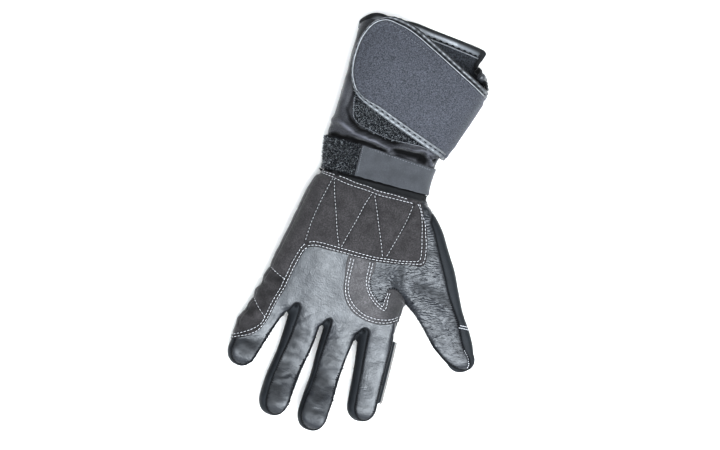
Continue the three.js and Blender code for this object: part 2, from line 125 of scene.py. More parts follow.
# Length of the rounded tip, then x, y, half width, height of the underside, height of the top
FINGERS = {
    "pinky": (15, (
        (-69, -56, 11, 0, 24), (-74, -77, 13.8, 0, 23.5), (-80.2, -95, 13.6, 0, 22),
        (-84.8, -110, 13.4, 1, 22.4), (-87.3, -121, 12.6, 2.5, 24.4))),
    "ring": (15, (
        (-44, -58, 11, 0, 26), (-44.8, -82, 13.7, 0, 25.5), (-45.8, -102, 13.7, 0, 23.5),
        (-48.4, -120, 13, 0, 22.5), (-51.5, -140, 13.4, 2, 24.4), (-52.6, -154, 13, 4.5, 27))),
    "middle": (14.5, (
        (-14, -58, 11, 0, 26), (-14.1, -88, 13.7, 0, 25), (-16.1, -110, 12.9, 0, 23.5),
        (-17, -130, 12.3, 0.5, 23), (-18.2, -146, 12.9, 2.5, 25), (-19.2, -159, 12.7, 4.5, 27))),
    "index": (13.5, (
        (14.5, -56, 11, 0, 25.4), (16.2, -88, 14.7, 0, 25), (17.4, -110, 13.5, 0, 24.2),
        (18, -129, 13, 1, 23.4), (18.5, -143, 12.6, 3, 23.4))),
    "thumb": (11, (
        (17.5, 22.6, 13, 0, 29), (20.5, 13, 20, 0, 32.5), (24.5, 2, 25, 0, 34.4),
        (36, -18, 25.8, 0, 35.4), (44.6, -30.6, 25, 0, 34.4), (54, -42.6, 21.5, 0, 32),
        (64.9, -57.3, 18, 0, 28.5), (78.2, -75, 16, 0.5, 26), (83.6, -81.3, 14, 1.5, 25),
        (88, -86.8, 11.8, 3, 23.5))),
}
THUMB_ACROSS = (0.826, 0.564)  # every section of the thumb lies along this
# Fills the dip between the palm and the thumb: x, y, half width, underside, top
THUMB_WEB = (
    (0, -22, 10, 3, 32.6), (8, -23, 13, 2, 34.4), (16, -25, 15, 2, 34.8), (28, -26.4, 15.6, 2, 35),
    (38, -26, 14, 2, 35), (46, -24, 12, 3, 34),
)
# Where each finger's middle line runs on inside the palm, for telling the side strips apart
PALM_ROOTS = {
    "pinky": (-52, 40), "ring": (-40, -30), "middle": (-14, -30), "index": (12, -30),
    "thumb": (12, 40),
}

# How far the leather face stays in from a finger's left edge at each of its sections
FACE_INSET = {
    "pinky": (1.5, 1.5, 1.5, 2.4, 3.6), "ring": (5, 8.2, 7.4, 6, 6.4, 6.6),
    "middle": (5, 5.2, 4.6, 4, 3.4, 3.4), "index": (7, 8, 7, 7, 7),
}
FACE_INSET_RIGHT = {"pinky": 0.5, "ring": 0.5, "middle": 0.5, "index": 1.1}
FACE_FILLET = 3.0  # rounds the corners between the palm's and the fingers' faces
FACE_INSET_TIP = 1.7

# Noises: height, sizes of the cells along x, y and z, seed
LEATHER_DENTS = ((1.0, (15, 19, 30), 1), (0.3, (10, 9, 12), 2))
LEATHER_WRINKLES = ((0.17, (6, 2.8, 6), 7), (0.1, (3, 1.7, 4), 8))
PAD_DENTS = ((0.4, (13, 10, 20), 31), (0.12, (3, 3, 3), 32))
GRAIN_DRIFT = ((3.0, (22, 16, 20), 24), (1.5, (5.8, 3.5, 5), 21), (0.95, (2.7, 2.8, 3), 22))
GRAIN_PEBBLES = ((0.5, (2.1, 1.4, 1.8), 25),)
CUFF_GATHERS = ((0.4, (5.5, 30, 9), 42),)
CUFF_DENTS = ((0.9, (20, 26, 24), 43),)
FLAP_DENTS = ((0.45, (26, 22, 30), 51),)
TAPE_DENTS = ((0.5, (13, 8, 12), 55),)
TAPE_EDGE = ((0.5, (6, 6, 8), 56),)
GRAIN_TURN = ((0.97, -0.24, 0), (0.24, 0.97, 0), (0, 0, 1.0))  # the grain runs a little askew

# Outlines seen from above
PALM_PLAN = (
    (-58.6, 40), (-63.5, 23), (-68, 3), (-72.4, -19), (-77.4, -41), (-82.6, -62), (-84, -72),
    (-68, -88), (-61, -84.6), (-57.4, -78.6), (-54, -73.6), (-48, -76), (-38, -84), (-31.6, -87),
    (-28.6, -84.4), (-24.6, -79.6), (-19, -81), (-12, -85), (-2, -87), (1.2, -85), (4.8, -80.6),
    (10, -81.4), (16, -84), (29.4, -80), (29.6, -60), (33.6, -40), (29, 40),
)
THUMB_FACE = (
    (0.2, -14), (0.2, -44), (3, -49.6), (8, -54.7), (14, -57.8), (15.2, -50), (15.9, -45.3),
    (18.4, -43.4), (23, -43.1), (26.6, -46), (30, -50.4), (35.4, -54.8), (41.8, -59.6),
    (49.8, -67.2), (56.6, -74.6), (64.6, -82.4), (72, -88), (80, -92.4), (87, -94.4), (92.5, -94.9),
    (96.4, -92.6), (96, -88), (94, -84), (90, -80), (86, -74), (82, -66), (78, -57), (74, -51),
    (66, -39), (58, -23), (50, -8), (42, 8), (34, 22), (29, 40), (24, 20), (21.5, 0), (15, -12),
)
CROTCH_PATCH = (
    (-20.6, -24), (-20.6, -45), (-19.4, -53), (-16.6, -60), (-12, -66.2), (-5.5, -71), (3, -74),
    (12, -75.1), (20, -74), (26, -71.6), (32.2, -68), (32.4, -60), (33, -51.4), (27, -45.4),
    (23, -43.3), (18.4, -43.6), (16, -45.4), (15.3, -50), (14, -58), (8, -54.8), (3, -49.7),
    (0.2, -44), (0.2, -24),
)
PALM_PAD = (
    (-66, 37), (-50, 36.6), (-30, 34.4), (-12, 32.3), (15, 31.6), (25, 30.4), (30, 20),
    (35.5, 8), (39, -5), (40.2, -18), (38, -20), (28, -21.6), (10, -24.4), (0, -25.4),
    (-40, -25.4), (-50, -25.4), (-56, -28), (-60, -38), (-64.2, -56), (-66, -66), (-69, -74),
    (-71, -82), (-73, -91), (-76, -99), (-80, -105.2), (-86, -109.6), (-93, -112.8),
    (-104, -116.4), (-96, -84), (-90, -55), (-82, -20), (-74, 15),
)
MOUTH = (
    (-75, 20), (-75, 100), (-60, 150), (-58.4, 160), (-54.5, 167.5), (-49.5, 172), (-44, 173.3),
    (-33, 171.8), (-15, 172.6), (0, 170.5), (20, 168), (40, 164.6), (45, 163), (46, 159.6),
    (43.6, 154), (42.4, 148), (47.5, 143.5), (54, 136), (75, 100), (75, 20),
)
PALM_SIDE_EDGE = (
    (-75, 20), (-75, 100), (-60, 158), (-54, 164.5), (-48, 166), (-32, 165.5), (0, 157.5), (20, 148),
    (40, 137.5), (60, 124), (75, 100), (75, 20),
)
WRIST_LOOP = ((-70, 37.4), (-56, 38.4), (-33.4, 38.6), (-33.2, 65), (-70, 65.6))
WRIST_STRAP = ((-33, 38.6), (0, 37.6), (36, 37.6), (36, 60), (0, 62), (-32.8, 65))
CUFF_LOOP = (
    (-50, 110), (-48, 100), (-46, 88), (-44, 83), (-38, 79.5), (-25, 76), (-10, 74), (4, 75),
    (16, 75), (28, 71.4), (30, 90), (0, 120), (-30, 120),
)
FLAP = (
    (61.4, 125.6), (51.4, 132.8), (31.2, 143.6), (16, 151.8), (0.8, 159.8), (-9.6, 165), (-20, 169),
    (-30, 170.8), (-37, 170.6), (-43, 168), (-49, 163), (-53.4, 155), (-56, 146), (-57, 136),
    (-57, 127), (-55.6, 118), (-52, 109.5), (-47.5, 103.4), (-41, 99), (-25, 92), (-5, 84),
    (15, 76.4), (30, 71), (44, 66),
)

# Rows of light stitches on the palm pad
PAD_ROWS = (
    ((-60, 36), (-50, 35.5), (-40, 34.8), (-30, 33), (-20, 32.5), (-12, 31), (0, 31), (15, 30.3)),
    ((-61, 35), (-50, 33.2), (-40, 31), (-30, 30), (-20, 29.3), (-10, 28), (0, 28), (19, 28)),
    ((-57, -23.5), (-53, -21.8), (-45, -21), (-30, -21.5), (-10, -22), (0, -22), (10, -21),
     (20, -20), (30, -18), (34.2, -16.6), (35.5, -14.5), (35.4, -11), (34.5, -5), (33.3, 0),
     (31.5, 8), (30, 14), (28, 20), (25, 26), (22, 29.4)),
    ((-57, -26.5), (-50, -24), (-40, -24), (-20, -24.5), (0, -24), (10, -23), (20, -21.8),
     (30, -20), (36, -18.7), (38.4, -17.4), (39, -14.5), (38, -5), (36.5, 1), (34.5, 7),
     (32, 15), (29, 20), (26, 26), (24, 29.6)),
    ((-58, -24), (-60.4, -28), (-62, -32), (-65, -42), (-66.5, -50), (-68, -57), (-69.5, -65),
     (-72, -73), (-74, -80), (-76, -90), (-78, -97), (-82, -101.6), (-88, -106), (-95, -110),
     (-99.5, -112)),
    ((-56, -27.2), (-59, -31), (-61, -38), (-63.5, -48), (-65.5, -58), (-67, -65), (-70, -74),
     (-72, -82), (-74, -91), (-76.5, -98), (-80, -104), (-86, -108.5), (-93, -111.5),
     (-99.5, -114.5)),
)
QUILT_ROWS = (
    ((-49.5, 33), (-51, 27), (-55, 10), (-58, -8), (-59, -23)),
    ((-48.5, 33), (-45, 20), (-40, 5), (-36, -8), (-31, -21)),
    ((-29.5, -21), (-26, -8), (-22, 6), (-19, 18), (-15.5, 28)),
    ((-13.5, 28), (-9, 17), (-4, 4), (0, -6), (3, -14), (5.5, -21)),
    ((8, -20.5), (11, -10), (14.5, 2), (17.5, 14), (19.5, 27.5)),
    ((-81.5, -50.4), (-74, -54.5), (-68, -57)),
    ((-89.5, -77.4), (-84, -84), (-80, -88), (-75, -92)),
)
PATCH_ROWS = (
    ((-19.5, -25.6), (-19.4, -35), (-19, -45), (-18, -52), (-15.5, -59), (-11, -65), (-5, -69.5),
     (3, -72.5), (12, -73.5), (20, -72.5), (25, -70.5), (30.5, -67)),
    ((-16.9, -25.6), (-16.8, -45), (-16, -51), (-13.5, -57.5), (-9, -63.2), (-3, -67.4),
     (3, -70), (12, -71), (20, -70), (25, -68.2), (30, -65)),
    ((-3.5, -25.6), (-3.5, -35), (-2.8, -43), (-0.5, -48.5), (3, -53.5), (8, -58.2),
     (13, -61.3), (17.5, -62.3), (18.2, -58), (18, -52), (18.5, -46.5)),
    ((-1.1, -25.6), (-1.1, -36), (-0.6, -43.5), (2, -49.3), (6.2, -54), (11, -57.8),
     (15.3, -59.6), (15.6, -56), (16.3, -50), (17, -46.5)),
)

# Ridges and valleys of the leather: width, height, then the line
LEATHER_FOLDS = (
    (2.0, -0.5, ((-63, -134.6), (-52, -134.6), (-44, -131.6))),
    (3.4, -0.6, ((-64, -142.6), (-53, -142), (-46, -139.6))),
    (5.0, -0.8, ((-66, -150), (-56, -149), (-44, -151))),
    (2.2, -0.4, ((-64, -155.4), (-53, -154.2), (-44, -154.4))),
    (2.4, -0.6, ((-55, -97.2), (-47, -95.4), (-36, -96.6))),
    (1.8, -0.4, ((-54, -90.4), (-47, -88.2))),
    (1.8, -0.4, ((-46, -102), (-39, -103))),
    (2.0, -0.4, ((-50, -86.4), (-43, -83), (-36, -77))),
    (2.4, -0.5, ((-54, -110), (-47, -108.6))),
    (2.6, -0.4, ((-49, -117), (-39, -119))),
    (3.0, -0.5, ((-56, -127), (-48, -126))),
    (2.8, -0.7, ((-27, -106.8), (-15, -107.6), (-4, -108.4))),
    (3.6, -0.9, ((-31, -127), (-19, -125), (-4, -122.2))),
    (7.0, -1.8, ((-40, -138.6), (-25, -139), (-9, -139))),
    (2.4, -0.5, ((-22, -92), (-14, -94))),
    (2.4, -0.35, ((12, -107.4), (20, -104.8), (30, -101.8))),
    (3.0, -0.6, ((2, -126.4), (14, -126), (24, -127.6))),
    (2.4, -0.3, ((8, -139), (22, -141.6))),
    (3.4, -0.4, ((13, -84.6), (19, -84), (25, -83.4))),
    (13.0, -1.9, ((-84, -125), (-50, -127), (16, -131))),
    (9.0, -1.4, ((-110, -100), (-86, -106), (-68, -108))),
    (2.6, -0.6, ((-96, -118), (-88, -113.6), (-82, -113))),
    (2.4, -0.4, ((-92, -124), (-86, -121))),
    (5.0, -1.3, ((27, -41), (38, -39.6), (52, -41), (74, -50))),
    (9.0, 1.0, ((22, -31), (38, -28), (52, -25))),
    (6.0, 1.2, ((30, -50), (44, -51), (60, -55), (78, -64))),
    (1.0, -0.25, ((18.9, -27.5), (21.6, -31), (23.4, -36), (25, -41.6))),
)
# Painted shade: where the leather is painted darker and duller in place of the shade on its slopes,
# folds and curled tips: width, share, then the line
LEATHER_PAINTED_SHADES = (
    (9.0, 1.2, ((-57, -130), (-54, -145), (-55, -153))),
    (9.0, 1.3, ((-22, -128), (-18, -142), (-20, -153))),
    (10.0, 0.75, ((-50, -100), (-52, -124))),
    (9.0, 0.5, ((-18, -104), (-18, -120))),
    (7.0, 1.2, ((-99, -117), (-90, -119), (-81, -117))),
    (5.0, 0.55, ((40, -37), (56, -40), (78, -46))),
    (4.0, 0.4, ((30, -11), (42, -9), (52, -6))),
    (4.5, 0.45, ((46, 8), (57, -15), (68, -38), (80, -60), (90, -78))),
    (3.5, 0.4, ((22, -26), (25, -34), (26, -41))),
)
# Ridges and valleys of the palm pad
PAD_FOLDS = (
    (2.2, 1.2, ((9, -14), (16, 4), (24, 22))),
    (2.6, -1.1, ((5, -14), (11, 4), (17, 22))),
    (1.8, -0.6, ((-68, 4), (-58, 2), (-53, 4))),
    (1.8, -0.6, ((-76, -38), (-69, -42))),
    (3.2, -1.5, ((-88, -62), (-78, -68), (-68, -71))),
    (3.2, 1.3, ((-90, -69), (-80, -76), (-70, -79))),
    (3.2, -1.4, ((-96, -86), (-84, -94), (-76, -99))),
    (3.0, 1.1, ((-98, -97), (-88, -102), (-80, -104))),
    (3.0, 0.7, ((-40, 24), (-30, 20), (-24, 6))),
)
# Where the hand is smoothed: beside the thumb, along its root and along the fingers' roots
THUMB_HOLLOW = (22, -42)
HEEL_JOIN = ((-6, 10), (4, -18), (18, -40))
ROOT_JOIN = ((-80, -74), (-40, -84), (-10, -88), (26, -86))
# Holes at the tops of the gaps between the fingers, sunk and painted dark with shade
CROTCH_HOLES = ((-54.2, -76.4), (-25.2, -82.4), (4.4, -83.2))
# Ridges and valleys of the gathered cuff: width, height, then the line
CUFF_FOLDS = (
    (3.0, 3.0, ((-66, 80), (-52, 77.4), (-40, 72.4), (-27.7, 70.6), (-17, 69.6), (-9, 66), (-6, 62))),
    (1.9, -3.4, ((-54, 90), (-47, 82), (-40.5, 76.8), (-31.6, 75), (-10.9, 72.4), (6, 73.4))),
    (2.0, -3.6, ((-66, 67), (-52, 66.8), (-44, 67.4), (-32, 67))),
    (1.8, -3.2, ((-40, 67.4), (-24, 65.8), (-10, 63.4))),
    (2.2, 2.4, ((-14, 67.6), (-4, 70.4), (5.2, 71.2), (20, 72), (36, 71))),
    (2.6, -4.2, ((-11, 66.4), (-2, 66.4), (10, 66.6), (20, 66), (30, 67))),
    (1.2, -1.4, ((-7, 62.8), (4, 61.4), (15, 60.4))),
    (1.3, 3.6, ((-11.2, 68.6), (-10.7, 62.6))),
    (1.4, 5.4, ((20, 70), (23, 66.4), (26, 61))),
    (1.2, 4.0, ((22.8, 66.4), (27, 68.6), (31, 69.4))),
    (1.8, -2.4, ((14, 63.6), (19, 62.6), (21.6, 61.6))),
    (1.6, -2.6, ((27, 65), (29.6, 70), (32.6, 76))),
    (4.2, 1.9, ((-57, 84), (-56, 112), (-58, 146))),
    (2.8, -2.0, ((-53, 86), (-51, 104), (-53, 118))),
    (2.8, -1.8, ((-61, 108), (-60, 128), (-58.5, 152))),
)
# Fabric bulges at the foot of the mouth's open side: x, y and z at both ends, radius, painted shadow
GUSSET_FOLDS = (
    ((42.6, 147.2, 25), (46.4, 144.8, 9), 2.9, 1.0),
    ((46.2, 142.4, 30), (51.0, 139.4, 10), 3.8, 0.05),
    ((50.4, 138.8, 29), (54.6, 137.4, 12), 1.5, 0.95),
    ((51.4, 136.8, 29), (55.6, 135.4, 12), 1.5, 0.95),
    ((52.4, 134.8, 29), (56.4, 133.4, 12), 1.5, 0.95),
)
BINDING_PITCH = 5.4  # from stitch to stitch along the bindings
# Section of the rolled binding round the mouth: across its edge and above the lining
MOUTH_ROLL = (
    (-6.4, -0.2), (-6.3, 0.9), (-5.8, 1.5), (-5.0, 1.8), (-3.8, 2.1), (-2.4, 2.2), (-1.0, 2.0),
    (0.0, 1.5), (0.7, 0.7), (1.1, -0.4), (0.9, -1.8), (0.2, -2.8), (-0.8, -3.1), (-3.4, -3.0),
    (-6.4, -2.4),
)
FLAP_MARKS = ((-35, 165.6), (-25, 161.4), (-15.3, 156.8), (-5, 152.6), (4, 148.6))
THUMB_BARS = tuple(((79.5, y), (84, y + 0.2), (88.4, y)) for y in (-59.5, -61.5))
THUMB_TIP_ROW = ((88.4, -78), (91.8, -82), (94.2, -86), (95.2, -89.6), (94.6, -92.4))
LOOP_BORDER = (
    (-48.4, 100), (-47, 92), (-45.4, 85.4), (-41.4, 81.4), (-33, 78.6), (-20, 75.6), (-9.3, 74.4),
    (4, 74.6), (15, 74.6), (25, 72.4),
)
STRAP_ROWS = (
    ((-31.8, 64.2), (-31.6, 55), (-31.2, 41)),
    ((-28, 63), (-14, 61.6), (0, 60.4), (14, 59.4), (27, 58)),
)

# Stage, in metres. The soft overhead light falls off outwards: diameters and radiances of its lamps
LAMPS = ((1.1, 3.6), (2.4, 3.2), (4.4, 2.2), (7.2, 0.8))
LAMP_WAY = (0.2, -0.26, 1.0)
LAMP_DISTANCE = 3.2
LAMP_COLOUR = (0.9, 0.955, 1.0)
SKY_STRENGTH = 0.14
FLOOR_REACH = 12.0
CAMERA_PLACE = (-0.0189, 0.00055, 2.5)
CAMERA_TURN = 14  # degrees
SHOWN_WIDTH = 0.5904  # width of the picture at the height below
SHARP_HEIGHT = 0.02
EXPOSURE = 0.68
GAMMA = 0.77


def mm(length):
    """A length property, which Blender keeps in metres, in millimetres."""
    return length / METRES


# Curves and outlines

def curve(rows, keys, at):
    """Rows at other keys, on a smooth curve through the given rows."""
    slopes = np.gradient(rows, keys, axis=0)
    i = np.clip(np.searchsorted(keys, at, side="right") - 1, 0, len(keys) - 2)
    span = (keys[i + 1] - keys[i])[:, None]
    t = (at - keys[i])[:, None] / span
    start = (2 * t**3 - 3 * t**2 + 1) * rows[i] + (t**3 - 2 * t**2 + t) * span * slopes[i]
    end = (3 * t**2 - 2 * t**3) * rows[i + 1] + (t**3 - t**2) * span * slopes[i + 1]
    return start + end


def lengths(points):
    """Length along a line of points, at each of them."""
    steps = np.linalg.norm(np.diff(points, axis=0), axis=1)
    return np.concatenate([[0.0], np.cumsum(steps)])


def drawn(points, step, closed=False):
    """A smooth line through the points, with points evenly a step apart."""
    rows = np.array(points, float)
    if closed:
        rows = np.concatenate([rows[-3:], rows, rows[:4]])
    gaps = np.linalg.norm(np.diff(rows, axis=0), axis=1)
    keys = np.concatenate([[0.0], np.cumsum(np.sqrt(gaps))])
    begin, end = (keys[3], keys[-4]) if closed else (keys[0], keys[-1])
    fine = curve(rows, keys, np.linspace(begin, end, 14 * len(points)))
    along = lengths(fine)
    count = max(2, round(along[-1] / step))
    even = np.linspace(0, along[-1], count + 1)
    if closed:
        even = even[:-1]
    return np.column_stack([np.interp(even, along, column) for column in fine.T])


def in_runs(measure):
    """Lets a measure of many points against many stretches of line work in runs of points."""
    def measured(points, line):
        runs = np.array_split(points, len(points) // 15000 + 1)
        return np.concatenate([measure(run, line) for run in runs])
    return measured


def plan_gaps(points, start, end):
    """Distance, seen from above, from each point to each stretch from a start to an end."""
    x, y = points[:, 0, None], points[:, 1, None]
    way = end - start
    reach = np.maximum((way**2).sum(1), 1e-9)
    share = ((x - start[:, 0]) * way[:, 0] + (y - start[:, 1]) * way[:, 1]) / reach
    share = np.clip(share, 0, 1)
    return np.hypot(x - start[:, 0] - share * way[:, 0], y - start[:, 1] - share * way[:, 1])


@in_runs
def beside(points, line):
    """Distance, seen from above, to a line."""
    line = np.asarray(line, float)
    return plan_gaps(points, line[:-1], line[1:]).min(1)


@in_runs
def inside(points, outline):
    """How far inside an outline each point lies, seen from above. It is negative outside."""
    start = np.asarray(outline, float)
    end = np.roll(start, -1, axis=0)
    way = end - start
    x, y = points[:, 0, None], points[:, 1, None]
    rise = np.where(np.abs(way[:, 1]) < 1e-9, 1e-9, way[:, 1])
    spans = (start[:, 1] > y) != (end[:, 1] > y)
    crossed = spans & (x < start[:, 0] + (y - start[:, 1]) / rise * way[:, 0])
    gap = plan_gaps(points, start, end).min(1)
    return np.where(crossed.sum(1) % 2 == 1, gap, -gap)


def step_up(value, low, high):
    """Rises smoothly from 0 at low to 1 at high."""
    t = np.clip((value - low) / (high - low), 0, 1)
    return t * t * (3 - 2 * t)


def rolled(inward, radius):
    """Height of a quarter-round edge, as a share, by how far inwards a place lies."""
    return np.sqrt(1 - (1 - np.clip(inward / radius, 0, 1)) ** 2)


def blended(first, second, radius):
    """The larger of two values, rounded where they come close."""
    share = np.clip(0.5 + (first - second) / (2 * radius), 0, 1)
    return second + (first - second) * share + radius * share * (1 - share)


def bell(distance, width):
    return np.exp(-((distance / width) ** 2))


def unit(vectors):
    """The same directions with a length of one."""
    return vectors / np.maximum(np.linalg.norm(vectors, axis=-1, keepdims=True), 1e-12)


GRADIENTS = unit(np.random.default_rng(11).normal(size=(256, 3)))
SHUFFLE = np.random.default_rng(12).permutation(256)


def rough(points, cell, seed=0):
    """Smooth noise from about -1 to 1, with cells of the given size, or sizes along x, y and z."""
    at = points / np.asarray(cell, float) + 37.17 * seed
    corner = np.floor(at).astype(int)
    part = at - corner
    fade = part**3 * (part * (part * 6 - 15) + 10)
    total = np.zeros(len(points))
    for shift in product((0, 1), repeat=3):
        key = corner + shift
        index = SHUFFLE[(key[:, 0]) & 255]
        index = SHUFFLE[(index + key[:, 1]) & 255]
        index = SHUFFLE[(index + key[:, 2]) & 255]
        weight = np.prod(np.where(shift, fade, 1 - fade), axis=1)
        total += weight * (GRADIENTS[index] * (part - shift)).sum(1)
    return total * 1.6


def uneven(points, table):
    """Adds up noises, each given by its height, the sizes of its cells and its seed."""
    return sum(height * rough(points, cell, seed) for height, cell, seed in table)


# Meshes of triangles, with values kept at their points

class Skin:
    """A surface of triangles in millimetres, and named values at its points."""

    def __init__(self, points, faces, values=None):
        self.points = np.asarray(points, float)
        self.faces = np.asarray(faces, int)
        self.values = dict(values or {})

    def copy(self):
        return Skin(self.points, self.faces, self.values)

    def changed(self, change):
        """The values at other points, by a function that gives one value there."""
        return {name: change(value) for name, value in self.values.items()}

    def spread(self, amounts):
        """Sums at the points of an amount for each triangle."""
        total = np.zeros((len(self.points), amounts.shape[1]))
        for corner in self.faces.T:
            for column in range(amounts.shape[1]):
                total[:, column] += np.bincount(corner, amounts[:, column], len(self.points))
        return total

    def normals(self):
        a, b, c = (self.points[corner] for corner in self.faces.T)
        return unit(self.spread(np.cross(b - a, c - a)))

    def slope(self, value):
        """The gradient of a value along the surface."""
        a, b, c = (self.points[corner] for corner in self.faces.T)
        low, middle, high = (value[corner][:, None] for corner in self.faces.T)
        normal = np.cross(b - a, c - a)
        size = np.maximum((normal**2).sum(1), 1e-12)[:, None]
        turned = (
            low * np.cross(normal, c - b)
            + middle * np.cross(normal, a - c)
            + high * np.cross(normal, b - a)
        ) / size
        area = np.sqrt(size)
        total = self.spread(np.hstack([turned * area, area]))
        return total[:, :3] / np.maximum(total[:, 3:], 1e-12)

    def reach(self, value):
        """Distance along the surface to where a value is zero, near enough close to it."""
        steep = np.linalg.norm(self.slope(value), axis=1)
        return np.abs(value) / np.maximum(steep, 0.2)

    def to_line(self, name):
        """Distance to the value's zero line, along which the triangles have been cut."""
        above = self.middles(name) > 0
        sides = np.zeros((2, len(self.points)), bool)
        for corner in self.faces.T:
            sides[0, corner[above]] = True
            sides[1, corner[~above]] = True
        line = self.points[sides.all(0)]
        tree = KDTree(len(line))
        for index, point in enumerate(line):
            tree.insert(point, index)
        tree.balance()
        return np.array([tree.find(point)[2] for point in self.points])

    def directed(self):
        """The edges of all triangles, each in its triangle's direction."""
        return np.concatenate([self.faces[:, pair] for pair in ([0, 1], [1, 2], [2, 0])])

    def edges(self):
        return np.unique(np.sort(self.directed(), axis=1), axis=0)

    def relaxed(self, turns, weight=None, shares=(0.5, -0.53)):
        """Evens the surface out. Without a weight it keeps its size."""
        first, second = self.edges().T
        count = len(self.points)
        meets = np.bincount(first, minlength=count) + np.bincount(second, minlength=count)
        weight = 1.0 if weight is None else weight[:, None]
        points = self.points.copy()
        for turn in range(turns):
            total = np.stack([
                np.bincount(first, points[second, k], count)
                + np.bincount(second, points[first, k], count)
                for k in range(3)
            ], axis=1)
            points += shares[turn % len(shares)] * weight * (total / meets[:, None] - points)
        return Skin(points, self.faces, self.values)

    def snapped(self, name, size):
        """Moves the points that lie close to a value's zero line on to it."""
        value = self.values[name]
        slope = self.slope(value)
        steep = (slope**2).sum(1)
        distance = np.abs(value) / np.maximum(np.sqrt(steep), 1e-6)
        near = (distance < 0.4 * size) & (steep > 0.04)
        points = self.points.copy()
        points[near] -= slope[near] * (value[near] / steep[near])[:, None]
        values = dict(self.values)
        for other in values:
            values[other] = values[other].copy()
            if other != name:
                moved = points[near] - self.points[near]
                values[other][near] += (self.slope(values[other])[near] * moved).sum(1)
        values[name][near] = 0
        return Skin(points, self.faces, values)

    def corner_pairs(self):
        """The ends of each triangle's three edges, the lower number first."""
        return np.sort(np.stack([self.faces, np.roll(self.faces, -1, 1)], -1), -1)

    def cut(self, name, reach=6.0):
        """Splits the triangles that a value's zero line crosses."""
        value = self.values[name]
        ends = self.corner_pairs()
        low, high = value[ends[..., 0]], value[ends[..., 1]]
        crossed = (low * high < 0) & (np.abs(low - high) < reach)
        pairs, index = np.unique(ends[crossed], axis=0, return_inverse=True)
        fresh = np.full(self.faces.shape, -1)
        fresh[crossed] = index.ravel() + len(self.points)
        first, second = pairs.T
        share = value[first] / (value[first] - value[second])
        points = self.points[first] + (self.points[second] - self.points[first]) * share[:, None]
        values = self.changed(lambda kept: np.concatenate(
            [kept, kept[first] + (kept[second] - kept[first]) * share]))
        values[name][len(self.points):] = 0
        count = crossed.sum(1)
        rows = np.arange(len(self.faces))
        whole = self.faces[count == 0]
        one = rows[count == 1]
        edge = np.argmax(crossed[one], axis=1)
        a, b, c = (self.faces[one, (edge + k) % 3] for k in range(3))
        p = fresh[one, edge]
        halves = [np.stack([c, a, p], 1), np.stack([c, p, b], 1)]
        two = rows[count == 2]
        edge = np.argmin(crossed[two], axis=1)
        b, c, a = (self.faces[two, (edge + k) % 3] for k in range(3))
        p, q = fresh[two, (edge + 2) % 3], fresh[two, (edge + 1) % 3]
        thirds = [np.stack([a, p, q], 1), np.stack([p, b, c], 1), np.stack([p, c, q], 1)]
        faces = np.concatenate([whole, *halves, *thirds])
        return Skin(np.concatenate([self.points, points]), faces, values)

    def middles(self, name):
        """A value at the middle of each triangle."""
        return self.values[name][self.faces].mean(1)

    def part(self, chosen):
        """The chosen triangles alone."""
        faces = self.faces[chosen]
        used, index = np.unique(faces, return_inverse=True)
        values = self.changed(lambda kept: kept[used])
        return Skin(self.points[used], index.reshape(faces.shape), values)

    def inner_side(self, name):
        """Cuts along a value's zero line and keeps the side where it is positive."""
        split = self.cut(name)
        return split.part(split.middles(name) > 0)

    def raised(self, amount, normals=None):
        normals = self.normals() if normals is None else normals
        return Skin(self.points + normals * np.asarray(amount)[..., None], self.faces, self.values)

    def finer(self):
        """Each triangle split in four, on the curve that the normals give."""
        normals = self.normals()
        pairs, index = np.unique(self.corner_pairs().reshape(-1, 2), axis=0, return_inverse=True)
        index = index.reshape(self.faces.shape) + len(self.points)
        first, second = pairs.T
        way = self.points[second] - self.points[first]
        lift = ((normals[first] - normals[second]) * way).sum(1) / 8
        up = unit(normals[first] + normals[second])
        points = (self.points[first] + self.points[second]) / 2 + up * lift[:, None]
        values = self.changed(lambda kept: np.concatenate([kept, (kept[first] + kept[second]) / 2]))
        a, b, c = self.faces.T
        ab, bc, ca = index.T
        faces = np.concatenate([
            np.stack([a, ab, ca], 1), np.stack([b, bc, ab], 1),
            np.stack([c, ca, bc], 1), np.stack([ab, bc, ca], 1),
        ])
        return Skin(np.concatenate([self.points, points]), faces, values)

    def rim(self):
        """The edges that only one triangle has, in that triangle's direction."""
        directed = self.directed()
        _, index, count = np.unique(
            np.sort(directed, axis=1), axis=0, return_inverse=True, return_counts=True)
        return directed[count[index.ravel()] == 1]

    def thickened(self, thickness, coarse=None):
        """A closed wall: this surface outside, the same one taken in, and a rim between them.
        A surface that was split finer is given the faces it had before, for its inner side."""
        count = len(self.points)
        inner = self.points - self.normals() * np.asarray(thickness)[..., None]
        inner[:, 2] = np.maximum(inner[:, 2], LINING_FLOOR)
        start, end = self.rim().T
        faces = np.concatenate([
            self.faces,
            (self.faces if coarse is None else coarse)[:, ::-1] + count,
            np.stack([end, start, start + count], 1),
            np.stack([end, start + count, end + count], 1),
        ])
        values = self.changed(lambda kept: np.concatenate([kept, kept]))
        wall = Skin(np.concatenate([self.points, inner]), faces, values)
        wall.inner_from = len(self.faces)
        return wall

    def tree(self):
        return BVHTree.FromPolygons(self.points.tolist(), self.faces.tolist())


def grid(rings):
    """Triangles over rings of points."""
    count, sides = rings.shape[:2]
    row = np.arange(count - 1)[:, None] * sides
    column = np.arange(sides)[None]
    a, b = row + column, row + (column + 1) % sides
    c, d = a + sides, b + sides
    faces = np.stack([np.stack([a, c, b], -1), np.stack([b, c, d], -1)], 2).reshape(-1, 3)
    return Skin(rings.reshape(-1, 3), faces)


